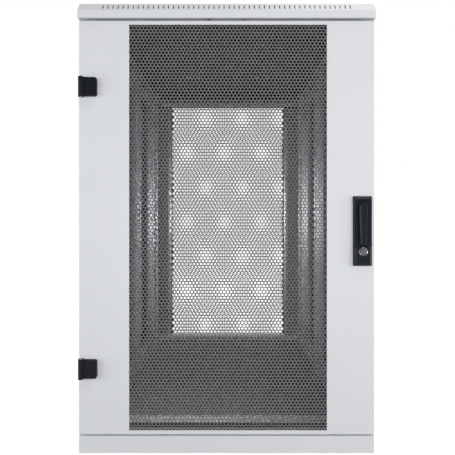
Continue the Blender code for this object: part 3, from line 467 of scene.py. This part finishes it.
FRONT_COLUMNS, FRONT_ROWS = 56, 133
SHARES = 3
middle, half_x, half_z, face, back = sheet_span("front_perforated_sheet")
flat, of_row = punched(
    FRONT_COLUMNS, FRONT_ROWS, HOLE_PITCH, HOLE_RISE, HOLE_RADIUS, HOLE_SIDES, half_x, half_z
)
for share, part in enumerate(("bottom", "middle", "top")):
    chosen = of_row * SHARES // FRONT_ROWS == share
    sheet = plate(f"front_punched_sheet_{part}", flat[chosen], middle, face, back, mesh_paint)
    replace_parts(sheet, "front_perforated_sheet")
    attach(sheet, "front_door")

REAR_COLUMNS, REAR_ROWS = 34, 81
middle, half_x, half_z, face, back = sheet_span("rear_perforated_sheet")
flat = punched(
    REAR_COLUMNS, REAR_ROWS, HONEYCOMB_PITCH, HONEYCOMB_RISE, HONEYCOMB_RADIUS, 6, half_x, half_z
)[0]
sheet = plate("rear_honeycomb_sheet", flat, middle, face, back, mesh_paint)
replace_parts(sheet, "rear_perforated_sheet")
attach(sheet, "rear_door")

# The 19-inch rails, the depth rails and the levelling feet: rolled or turned steel with a bright
# zinc plate. The rolls leave fine lines along a rail, which draw a highlight out across it.
ZINC = (0.66, 0.67, 0.69)
LINES_ACROSS, LINES_ALONG = 2200.0, 12.0
LINE_DEPTH = 0.00001
ROLLED_GLOSS = 0.7
RACK_RAIL_FOLD = 0.0009
DEPTH_RAIL_FOLD = 0.0003


def rolled(name, axis, lines):
    """Zinc plate rolled along an axis: its gloss is wider across the axis than along it, and a
    noise stretched along the axis makes fine lines; lines holds how many times a metre the
    noise changes along x, y and z. A slow noise dulls the plate."""
    made = coat(name, ZINC, 0.34, 0.0006, 0.00002, 0.07, 1.0, 0.10)
    nodes, links = made.node_tree.nodes, made.node_tree.links
    place = nodes.new("ShaderNodeTexCoord")
    stretch = nodes.new("ShaderNodeMapping")
    stretch.inputs["Scale"].default_value = lines
    links.new(place.outputs["Object"], stretch.inputs["Vector"])
    ripple = nodes.new("ShaderNodeTexNoise")
    ripple.inputs["Scale"].default_value = 1.0
    ripple.inputs["Detail"].default_value = 1.0
    links.new(stretch.outputs["Vector"], ripple.inputs["Vector"])
    furrow = nodes.new("ShaderNodeBump")
    furrow.inputs["Strength"].default_value = 1.0
    furrow.inputs["Distance"].default_value = LINE_DEPTH
    links.new(ripple.outputs["Fac"], furrow.inputs["Height"])
    steel = nodes["Principled BSDF"]
    links.new(furrow.outputs["Normal"], steel.inputs["Normal"])
    across = nodes.new("ShaderNodeTangent")
    across.direction_type = "RADIAL"
    across.axis = axis
    links.new(across.outputs["Tangent"], steel.inputs["Tangent"])
    steel.inputs["Anisotropic"].default_value = ROLLED_GLOSS
    return made


zinc = rolled("zinc_plate", "Z", (LINES_ACROSS, LINES_ACROSS, LINES_ALONG))
zinc_along = rolled("zinc_plate_lengthwise", "Y", (LINES_ACROSS, LINES_ALONG, LINES_ACROSS))
for row in ("front", "rear"):
    for side in ("left", "right"):
        softened(f"rack_rail_{row}_{side}", RACK_RAIL_FOLD, zinc)
for level in ("lower", "upper"):
    for side in ("left", "right"):
        softened(f"depth_rail_{level}_{side}", DEPTH_RAIL_FOLD, zinc_along)

rubber = coat("black_rubber", (0.012, 0.012, 0.013), 0.75, 0.0009, 0.00006, 0.08, gloss=0.3)


def axes_along(direction):
    """Three unit vectors square to each other, of which the first lies along the direction."""
    first = np.array(direction, float) / np.linalg.norm(direction)
    second = np.cross(first, np.eye(3)[np.argmin(np.abs(first))])
    second /= np.linalg.norm(second)
    return first, second, np.cross(first, second)


def turned(name, profile, base, direction, material, sides=32, body="root"):
    """A solid of revolution: each profile point (r, t) becomes a ring of radius r, t along the
    direction from the base. A radius of 0 closes it in one point."""
    direction, across, third = axes_along(direction)
    r, t = np.array(profile, float).T
    turn = 2 * np.pi * np.arange(sides) / sides
    round_way = np.cos(turn)[:, None] * across + np.sin(turn)[:, None] * third
    points = (
        np.array(base, float)
        + t[:, None, None] * direction
        + r[:, None, None] * round_way[None, :, :]
    )
    return skinned(name, points, material, wrap=True, body=body)


TIP_REACH = 0.000002


def skinned(name, grid, material, wrap=False, body="root", sharp=35.0, closed=False):
    """A surface over a grid of points (m, n, 3), joined to itself across n where it wraps and
    across m where it is closed, with its ends capped and its double points merged."""
    m, n = grid.shape[:2]
    index = np.arange(m * n).reshape(m, n)
    across = np.concatenate([index, index[:, :1]], axis=1) if wrap else index
    rows = np.concatenate([across, across[:1]], axis=0) if closed else across
    quads = np.stack([rows[:-1, :-1], rows[1:, :-1], rows[1:, 1:], rows[:-1, 1:]], -1)
    mesh = bpy.data.meshes.new(name)
    shell = bmesh.new()
    mesh.from_pydata(grid.reshape(-1, 3).tolist(), [], quads.reshape(-1, 4).tolist())
    shell.from_mesh(mesh)
    bmesh.ops.remove_doubles(shell, verts=shell.verts, dist=TIP_REACH)
    open_edges = [edge for edge in shell.edges if edge.is_boundary]
    if open_edges:
        bmesh.ops.holes_fill(shell, edges=open_edges, sides=0)
    bmesh.ops.recalc_face_normals(shell, faces=shell.faces)
    shell.to_mesh(mesh)
    shell.free()
    mesh.materials.append(material)
    mesh.shade_smooth()
    mesh.set_sharp_from_angle(angle=math.radians(sharp))
    made = bpy.data.objects.new(name, mesh)
    scene.collection.objects.link(made)
    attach(made, body)
    return made


def rounded_rod(radius, low, high, edge):
    """The profile of a rod from low to high with rounded ends: quarter circles of radius edge."""
    turn = np.radians([0, 30, 60, 90])
    bottom = [(radius - edge + edge * math.sin(a), low + edge - edge * math.cos(a)) for a in turn]
    top = [(radius - edge + edge * math.cos(a), high - edge + edge * math.sin(a)) for a in turn]
    return [(0, low), *bottom, *top, (0, high)]


UP = (0, 0, 1)
SHOE_TOP = 0.0045
CUP_FOOT, CUP_TOP, CUP_INSET = 0.0035, 0.008, 0.0008
NUT_FOOT, NUT_TOP, NUT_RADIUS = 0.0076, 0.0125, 0.0092
STUD_FOOT, STUD_RADIUS, STUD_TIP = 0.012, 0.0045, 0.004
THREAD_PITCH, THREAD_CREST, THREAD_ROOT = 0.0015, 0.00495, 0.0041
for row in ("front", "rear"):
    for side in ("left", "right"):
        name = f"foot_{row}_{side}"
        low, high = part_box(name)
        base = ((low.x + high.x) / 2, (low.y + high.y) / 2, 0)
        pad_radius = (high.x - low.x) / 2
        shoe = rounded_rod(pad_radius, low.z, low.z + SHOE_TOP, 0.001)
        shoe = turned(f"{name}_shoe", shoe, base, UP, rubber, 48, name)
        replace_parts(shoe, name)
        cup = rounded_rod(pad_radius - CUP_INSET, low.z + CUP_FOOT, low.z + CUP_TOP, 0.0012)
        turned(f"{name}_cup", cup, base, UP, zinc, 48, name)
        nut = rounded_rod(NUT_RADIUS, low.z + NUT_FOOT, low.z + NUT_TOP, 0.0006)
        turned(f"{name}_nut", nut, base, UP, zinc, 6, name)
        start = low.z + STUD_FOOT
        turns = int((high.z - start - 0.001) / THREAD_PITCH)
        crest = np.repeat([THREAD_CREST, THREAD_ROOT], 2)
        rise = np.tile([0.0, 0.15, 0.5, 0.65], turns) + np.repeat(np.arange(turns), 4)
        thread = list(zip(np.tile(crest, turns), start + rise * THREAD_PITCH))
        foot = [(0, start - 0.001), (STUD_RADIUS, start - 0.001)]
        stud = [*foot, *thread, (STUD_TIP, high.z), (0, high.z)]
        turned(f"{name}_stud", stud, base, UP, zinc, 20, name)

# Screws and small hardware: pan-head screws with a cross recess hold the depth rails, the fan
# plates and the cable cover. They are zinc-plated, pressed heads with a rounded rim.
HEAD_RISE, HEAD_CURVE = 0.55, 0.8
CROSS_HALF, CROSS_REACH, CROSS_DEPTH = 0.16, 0.62, 0.32


def screw(name, place, direction, radius):
    """A pan head: height = 0.55 r sqrt(1 - 0.8 s^2) at the share s of its radius, less a cross
    recess 0.32 r deep where |x| or |y| is under 0.16 r and s is under 0.62."""
    rings, sides = 9, 48
    s = np.linspace(0, 1, rings)[:, None]
    turn = 2 * np.pi * np.arange(sides)[None, :] / sides
    x, y = s * np.cos(turn), s * np.sin(turn)
    height = HEAD_RISE * np.sqrt(1 - HEAD_CURVE * s**2) + 0 * turn
    arm = np.minimum(np.abs(x), np.abs(y))
    cross = np.clip((CROSS_HALF - arm) / 0.05, 0, 1) * np.clip((CROSS_REACH - s) / 0.08, 0, 1)
    height = height - CROSS_DEPTH * cross
    direction, across, third = axes_along(direction)
    flat = (
        np.array(place, float)
        + radius * x[..., None] * across
        + radius * y[..., None] * third
    )
    dome = flat + radius * height[..., None] * direction
    grid = np.concatenate([dome, flat[-1:]])
    return skinned(name, grid, zinc, wrap=True, sharp=50.0)


RAIL_SCREW_RADIUS, COVER_SCREW_RADIUS, FAN_SCREW_RADIUS = 0.0042, 0.0032, 0.004
RAIL_SCREW_X = 0.2475
for level in ("lower", "upper"):
    low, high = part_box(f"depth_rail_{level}_left")
    middle = (low.z + high.z) / 2
    for side, sign in (("left", -1), ("right", 1)):
        for row, y in (("front", -0.0855), ("rear", 0.1455)):
            place = (sign * RAIL_SCREW_X, y, middle)
            screw(f"rail_screw_{level}_{side}_{row}", place, (-sign, 0, 0), RAIL_SCREW_RADIUS)
COVER_SCREW_INSET = 0.006
low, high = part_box("floor_cable_cover")
screw_x = (low.x + COVER_SCREW_INSET, high.x - COVER_SCREW_INSET)
screw_y = (low.y + COVER_SCREW_INSET, high.y - COVER_SCREW_INSET)
for index, (x, y) in enumerate((x, y) for x in screw_x for y in screw_y):
    screw(f"cover_screw_{index + 1}", (x, y, high.z), UP, COVER_SCREW_RADIUS)
FAN_SCREW_X, FAN_SCREW_Y = (0.0915, 0.125), 0.148
plate_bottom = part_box("fan_plate_left")[0].z
for side, sign in (("left", -1), ("right", 1)):
    for index, x in enumerate(FAN_SCREW_X):
        for row, end in (("front", -1), ("rear", 1)):
            name = f"fan_screw_{side}_{row}_{index + 1}"
            place = (sign * x, end * FAN_SCREW_Y, plate_bottom)
            screw(name, place, (0, 0, -1), FAN_SCREW_RADIUS)

# The foam seal between the posts and the door: a black closed-cell strip glued round the front
# and the rear of the frame, half round and mitred at its corners, which the door presses. A black
# foam strip along the rest of each top bar's face, where the door's window would show the bar, is
# painted shade: a dark sheet put where the bar lies in shade.
SEAL_WIDTH, SEAL_HEIGHT = 0.009, 0.0025
SEAL_INSET, SEAL_DROP = 0.006, 0.0065
SHADE_STRIP_DEPTH, SHADE_STRIP_HALF = 0.0012, 0.2515
foam = coat("closed_cell_foam", (0.02, 0.02, 0.021), 0.85, 0.0007, 0.0001, 0.1, gloss=0.2)


def drawn(name, outline, axis, ends, material, body="root"):
    """A straight bar along an axis, 0 for x or 2 for z: its outline, given in the other two
    coordinates, at both of its ends and joined between them."""
    grid = np.empty((2, len(outline), 3))
    grid[..., axis] = np.array(ends)[:, None]
    grid[..., [other for other in range(3) if other != axis]] = outline
    return skinned(name, grid, material, wrap=True, body=body)


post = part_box("post_front_right")
seal_x = post[0].x + SEAL_INSET
seal_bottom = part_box("base_front_rail")[1].z - SEAL_DROP
seal_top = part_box("top_front_rail")[0].z + SEAL_INSET
corner_x = np.array([-seal_x, seal_x, seal_x, -seal_x])[:, None]
corner_z = np.array([seal_bottom, seal_bottom, seal_top, seal_top])[:, None]
way_z = np.sign(corner_z - (seal_bottom + seal_top) / 2)
turn = np.linspace(0, np.pi, 9)
across, proud = np.cos(turn) * SEAL_WIDTH / 2, np.sin(turn) ** 0.7 * SEAL_HEIGHT
for row, out in (("front", -1), ("rear", 1)):
    seal = np.empty((4, 9, 3))
    seal[..., 0] = corner_x + np.sign(corner_x) * across
    seal[..., 1] = -out * post[0].y + out * proud
    seal[..., 2] = corner_z + way_z * across
    skinned(f"{row}_seal", seal, foam, wrap=True, closed=True)
# Each top bar's face gets a black strip as painted shade.
for row, out in (("front", -1), ("rear", 1)):
    low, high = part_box(f"top_{row}_rail")
    face = low.y if out < 0 else high.y
    outline = [
        (face, low.z + 0.0002), (face + out * SHADE_STRIP_DEPTH * 0.6, low.z + 0.0002),
        (face + out * SHADE_STRIP_DEPTH, low.z + 0.0008), (face + out * SHADE_STRIP_DEPTH, high.z - 0.0022),
        (face + out * SHADE_STRIP_DEPTH * 0.6, high.z - 0.0016), (face, high.z - 0.0016),
    ]
    ends = (-SHADE_STRIP_HALF, SHADE_STRIP_HALF)
    drawn(f"{row}_top_shade_strip", outline, 0, ends, foam)

# A zinc strip clamps each long edge of each perforated sheet into its door from behind: it is
# slightly crowned, and it steps down from the sheet to the door's own plate.
STRIP_WIDTH, STRIP_RISE, STRIP_CURVE = 0.012, 0.0018, 0.25
SHEET_STEP, SHEET_REST = 0.0011, 0.0006
STRIP_END_GAP = 0.004
half = STRIP_WIDTH / 2
bow = np.linspace(-1, 1, 9)
crown = np.stack([bow * half, STRIP_RISE * (1 - STRIP_CURVE * bow**2)], 1)
strip_section = np.concatenate(
    [[(0, 0), (-half, 0)], crown, [(half, -SHEET_STEP), (SHEET_REST, -SHEET_STEP)]]
)
across, proud = strip_section.T
for row, into in (("front", 1), ("rear", -1)):
    low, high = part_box(f"{row}_perforated_sheet")
    face = high.y if into > 0 else low.y
    ends = (low.z + STRIP_END_GAP, high.z - STRIP_END_GAP)
    for side, edge, way in (("left", low.x, -1), ("right", high.x, 1)):
        outline = np.stack([edge + way * across, face + into * proud], 1)
        drawn(f"{row}_sheet_strip_{side}", outline, 2, ends, zinc, f"{row}_door")

# A strip of black filter foam lies in each end of the lid, just behind the vent slots. It is
# glued to the inside of the slope, between the slope's knee and its crest.
LID_SHEET = 0.0016
KNEE_HEIGHT, SLOPE_DEPTH = 0.0157, 0.0156
FILTER_GAP, FILTER_END_GAP, FILTER_DEPTH, FILTER_HALF = 0.0006, 0.0008, 0.003, 0.2830
lid_low, lid_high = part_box("roof")
for row, end in (("front", -1), ("rear", 1)):
    knee = np.array([end * (lid_high.y - LID_SHEET), lid_low.z + KNEE_HEIGHT - 0.0007])
    crest = np.array([end * (lid_high.y - SLOPE_DEPTH - 0.0006), lid_high.z - LID_SHEET])
    slope = (crest - knee) / np.linalg.norm(crest - knee)
    inwards = end * np.array([-slope[1], slope[0]])
    start = knee + slope * FILTER_END_GAP + inwards * FILTER_GAP
    stop = crest - slope * FILTER_END_GAP + inwards * FILTER_GAP
    outline = [start, stop, stop + inwards * FILTER_DEPTH, start + inwards * FILTER_DEPTH]
    ends = (-FILTER_HALF, FILTER_HALF)
    drawn(f"{row}_lid_filter", outline, 0, ends, foam)

# Two rubber buffers stand in the gap between each door and the lid, on the top bars. Each is a
# small moulded peg with a rounded end, pushed into the bar.
BUFFER_RADIUS, BUFFER_LENGTH, BUFFER_X, BUFFER_DROP = 0.0021, 0.0205, 0.035, 0.0026
buffer = rounded_rod(BUFFER_RADIUS, 0, BUFFER_LENGTH, 0.0006)
for row, out in (("front", -1), ("rear", 1)):
    low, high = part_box(f"top_{row}_rail")
    face = low.y if out < 0 else high.y
    for side, sign in (("left", -1), ("right", 1)):
        place = (sign * BUFFER_X, face, high.z - BUFFER_DROP)
        name = f"{row}_buffer_{side}"
        turned(name, buffer, place, (0, out, 0), rubber, 24)

# The hinges: die-cast zinc leaves and brackets under a black coat, three knuckles on the leaf and
# two on the bracket, on a steel pin with a domed end.
LEAF_EDGE, BRACKET_EDGE, PIN_EDGE = 0.0005, 0.0004, 0.0006
black_cast = coat("black_die_cast", (0.004, 0.005, 0.010), 0.40, 0.0008, 0.00003, gloss=0.15)
for row in ("front", "rear"):
    for place in ("lower", "upper"):
        name = f"{row}_hinge_leaf_{place}"
        softened(name, LEAF_EDGE, black_cast, f"{row}_door")
        softened(f"{row}_hinge_bracket_{place}", BRACKET_EDGE, black_cast)
        pin = f"{row}_hinge_pin_{place}"
        low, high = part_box(pin)
        shaft = rounded_rod((high.x - low.x) / 2, low.z, high.z, PIN_EDGE)
        base = ((low.x + high.x) / 2, (low.y + high.y) / 2, 0)
        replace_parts(turned(f"{pin}_turned", shaft, base, UP, zinc, 20), pin)

# The swing handle: a glass-filled nylon body with a wide bevel all round, a trough for the lever,
# and a raised end that carries the lock. The lever is crowned and narrows to its free end.
NYLON = (0.005, 0.0075, 0.014)
black_moulded = coat("black_moulded_nylon", NYLON, 0.34, 0.0005, 0.00002, gloss=0.15)


def relief(name, x, z, front, back, material, body):
    """A closed body over a grid: its front surface at y = front(x, z), a flat back, and the wall
    between them along the grid's own edge."""
    top = np.stack([x, front, z], -1)
    under = np.stack([x, np.full_like(x, back), z], -1)
    m, n = x.shape
    index = np.arange(m * n).reshape(m, n)
    faces = np.stack([index[:-1, :-1], index[1:, :-1], index[1:, 1:], index[:-1, 1:]], -1)
    faces = faces.reshape(-1, 4)
    edge = np.concatenate([index[:-1, 0], index[-1, :-1], index[:0:-1, -1], index[0, :0:-1]])
    after = np.roll(edge, -1)
    wall = np.stack([after, edge, edge + m * n, after + m * n], -1)
    points = np.concatenate([top.reshape(-1, 3), under.reshape(-1, 3)])
    made = mesh_piece(name, points, [faces, faces[:, ::-1] + m * n, wall], material)
    made.data.shade_smooth()
    made.data.set_sharp_from_angle(angle=math.radians(50))
    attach(made, body)
    return made


def rounded_field(half_x, half_z, radius, across, along):
    """Grid points over a rectangle with round corners: a square grid whose corner squares are
    drawn onto quarter discs, (a, b) becoming (a, b) max(a, b) / hypot(a, b)."""
    columns = np.linspace(-half_x, half_x, across)
    rows = np.linspace(-half_z, half_z, along)
    u, v = np.meshgrid(columns, rows, indexing="ij")
    a = np.clip(np.abs(u) - (half_x - radius), 0, None)
    b = np.clip(np.abs(v) - (half_z - radius), 0, None)
    pull = np.maximum(a, b) / np.maximum(np.hypot(a, b), 1e-9)
    pull = np.where((a > 0) & (b > 0), pull, 1.0)
    x = np.where(a > 0, np.sign(u) * (half_x - radius + a * pull), u)
    z = np.where(b > 0, np.sign(v) * (half_z - radius + b * pull), v)
    return x, z


def step(value, low, high):
    """A smooth step from 0 to 1 between low and high: 3 t^2 - 2 t^3."""
    t = np.clip((value - low) / (high - low), 0, 1)
    return t * t * (3 - 2 * t)


# The body stands as high as the lower of its bevel and its plateau, blended as
# -k ln(e^(-a/k) + e^(-b/k)). The lever's trough and the lock's seat are then sunk into it.
HANDLE_CORNER = 0.0020
RIM_DEPTH, LOW_DEPTH, TROUGH_DEPTH, SEAT_DEPTH = 0.0028, 0.0050, 0.0030, 0.0006
SIDE_SLOPE, FOOT_SLOPE, TOP_SLOPE = 1.25, 1.2, 0.62
BLEND = 0.0003
RAISED_FROM, RAISED_TO, RAISED_RAMP = 0.040, 0.0085, 0.0030
TROUGH_INNER, TROUGH_OUTER, TROUGH_GAP = 0.0098, 0.0107, 0.0012
SEAT_OUTER = 0.0108
low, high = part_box("front_handle_base")
lever_low, lever_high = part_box("front_lever")
handle_x, handle_z = (low.x + high.x) / 2, (low.z + high.z) / 2
half_x, half_z = (high.x - low.x) / 2, (high.z - low.z) / 2
x, z = rounded_field(half_x, half_z, HANDLE_CORNER, 97, 301)
side_gap, top_gap, foot_gap = half_x - np.abs(x), half_z - z, half_z + z
bevel = np.minimum(side_gap * SIDE_SLOPE, foot_gap * FOOT_SLOPE)
bevel = RIM_DEPTH + np.minimum(bevel, top_gap * TOP_SLOPE)
raised_low = low.z + RAISED_FROM - handle_z
raised_high = high.z - RAISED_TO - handle_z
raised = np.maximum(
    1 - step(z, raised_low - RAISED_RAMP, raised_low),
    step(z, raised_high, raised_high + RAISED_RAMP),
)
plateau = LOW_DEPTH + raised * (high.y - low.y - LOW_DEPTH)
crest = -np.log(np.exp(-bevel / BLEND) + np.exp(-plateau / BLEND)) * BLEND
head = lever_high.z - handle_z - (lever_high.x - lever_low.x) / 2
past_head = np.clip(z - head, 0, None)
past_tip = np.clip(lever_low.z - handle_z - TROUGH_GAP - z, 0, None)
from_lever = np.hypot(x, past_head + past_tip * 3)
trough = 1 - step(from_lever, TROUGH_INNER, TROUGH_OUTER)
crest = crest * (1 - trough) + np.minimum(crest, TROUGH_DEPTH) * trough
lock_low, lock_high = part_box("front_lock_barrel")
lock_z = (lock_low.z + lock_high.z) / 2 - handle_z
crest = crest - SEAT_DEPTH * (1 - step(np.hypot(x, z - lock_z), TROUGH_INNER, SEAT_OUTER))
body = relief(
    "front_handle_body", x + handle_x, z + handle_z, high.y - crest, high.y, black_moulded,
    "front_door",
)
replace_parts(body, "front_handle_base")

# The lever's width follows its round head, its taper and its round foot, and its height is a
# crown across it with a rounded edge and a small finger groove under the head.
LEVER_TAPER, TAPER_END = 0.27, 0.90
LEVER_FOOT, LEVER_EDGE = 0.0025, 0.0016
CROWN_DROP, TIP_DROP, GROOVE_DEPTH, GROOVE_AT, GROOVE_HALF = 0.18, 0.10, 0.0007, 0.93, 0.008
v, u = np.meshgrid(np.linspace(0, 1, 161), np.linspace(-1, 1, 41))
length = lever_high.z - lever_low.z
half = (lever_high.x - lever_low.x) / 2
z = lever_low.z + v * length
head_z = lever_high.z - half
narrow = half * (1 - LEVER_TAPER * (1 - step(v, 0.0, TAPER_END)))
round_top = np.sqrt(np.clip(half**2 - np.clip(z - head_z, 0, None) ** 2, 0, None))
from_foot = np.clip(LEVER_FOOT - v * length, 0, LEVER_FOOT)
round_foot = LEVER_FOOT - np.sqrt(np.clip(LEVER_FOOT**2 - from_foot**2, 0, None))
width = np.where(z > head_z, np.minimum(narrow, round_top), narrow - round_foot)
from_side = width * (1 - np.abs(u))
from_end = np.minimum(v * length, lever_high.z - z)
gap = np.minimum(from_side, from_end * 0.8)
thick = lever_high.y - lever_low.y
fillet = np.clip(LEVER_EDGE - gap, 0, LEVER_EDGE)
fillet = np.sqrt(np.clip(LEVER_EDGE**2 - fillet**2, 0, None))
crown = (1 - CROWN_DROP * u**2) * (1 - TIP_DROP * step(v, 0.25, 0.0))
height = (thick - LEVER_EDGE) * crown + fillet
groove = GROOVE_DEPTH * np.exp(-(((v - GROOVE_AT) / GROOVE_HALF) ** 2))
height = np.minimum(height - groove * step(from_side, 0.0005, 0.002), thick)
lever = relief(
    "front_lever_crowned", handle_x + u * width, z, lever_high.y - height, lever_high.y,
    black_moulded, "front_lever",
)
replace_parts(lever, "front_lever")
SMALL_EDGE = 0.0002
softened("front_spindle", SMALL_EDGE, black_moulded, "front_handle_spindle")
softened("front_lever_pin", SMALL_EDGE, black_cast, "front_handle_spindle")

# The locks: a nickel-chrome barrel with a dished, bevelled rim, and a plug whose key slot lies
# across it. Their chrome has a dark colour, a painted reflection of dark surroundings, and its
# tone and shine vary at random.
LOCK_BORE = 0.0063
chrome = coat("darkened_chrome", (0.17, 0.17, 0.19), 0.20, 0.0012, 0.00003, 0.25, 1.0, 0.16)


def barrel(row):
    """A ring round the lock's axis: an outer wall, a bevel, a rim, and a dish that falls to the
    bore. Each pair in the profile is a radius and a y, counted from the ring's front."""
    name = f"{row}_lock_barrel"
    low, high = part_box(name)
    middle = ((low.x + high.x) / 2, 0, (low.z + high.z) / 2)
    radius = (high.x - low.x) / 2
    into = 1 if low.y < 0 else -1
    front, rear = (low.y, high.y) if into > 0 else (high.y, low.y)
    profile = [
        (LOCK_BORE, rear), (radius, rear), (radius, front + into * 0.0012),
        (radius - 0.0006, front + into * 0.0003), (radius - 0.0012, front),
        (radius - 0.0018, front + into * 0.0001), (LOCK_BORE + 0.0004, front + into * 0.0007),
        (LOCK_BORE, front + into * 0.0009), (LOCK_BORE, rear),
    ]
    made = turned(f"{name}_ring", profile, middle, (0, 1, 0), chrome, 48, f"{row}_door")
    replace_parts(made, name)


for row in ("front", "rear"):
    barrel(row)
for row in ("front", "rear"):
    name = f"{row}_lock_plug"
    softened(name, SMALL_EDGE, chrome, name)

# The side panels' quarter-turn latches are moulded nylon, with a slot for a coin. Each is pushed
# through its panel and held behind it by its cam.
LATCH_EDGE = 0.0003
for side in ("left", "right"):
    for row in ("front", "rear"):
        name = f"{side}_latch_{row}"
        softened(name, LATCH_EDGE, black_moulded, name)

# The earthing lead lies on the floor. Each of its ends is crimped into a lug, a small plate that
# stands on the right base bar's inner side under a screw.
sheath = coat("black_sheath", (0.012, 0.012, 0.013), 0.5, 0.0012, 0.00003, gloss=0.3)
for slot in node["earth_lead"].material_slots:
    slot.material = sheath
LEAD_RADIUS = 0.0021
LUG_RADIUS, LUG_HOLE, LUG_DROP = 0.0052, 0.0058, 0.0019
LUG_BACK, LUG_FRONT, CRIMP_BACK = 0.0001, 0.0011, 0.0008
SCREW_HEIGHT, LUG_SCREW_RADIUS = 0.0062, 0.0031
bar_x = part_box("base_right_rail")[0].x
lead_low, lead_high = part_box("earth_lead")
lead_z = lead_low.z + LEAD_RADIUS
crimp = [
    (0.0, 0.0), (0.0020, 0.0), (0.00232, 0.0003), (0.00232, 0.0030), (0.00220, 0.0036),
    (0.00220, 0.0052), (0.00232, 0.0058), (0.00232, 0.0100), (0.0020, 0.0104), (0.0, 0.0104),
]
turn = np.linspace(0, np.pi, 13)
rim = np.stack([LUG_RADIUS * np.cos(turn), LUG_HOLE + LUG_RADIUS * np.sin(turn)], 1)
rim = np.concatenate([[(-LUG_RADIUS, -LUG_DROP), (LUG_RADIUS, -LUG_DROP)], rim])
lug_ends = (bar_x - LUG_BACK, bar_x - LUG_FRONT)
for name, y in (("front", lead_low.y + LEAD_RADIUS), ("rear", lead_high.y - LEAD_RADIUS)):
    turned(f"earth_crimp_{name}", crimp, (bar_x - CRIMP_BACK, y, lead_z), (-1, 0, 0), zinc, 20)
    outline = np.stack([y + rim[:, 0], lead_z + rim[:, 1]], 1)
    drawn(f"earth_lug_{name}", outline, 0, lug_ends, zinc)
    place = (lug_ends[1], y, lead_z + SCREW_HEIGHT)
    screw(f"earth_screw_{name}", place, (-1, 0, 0), LUG_SCREW_RADIUS)
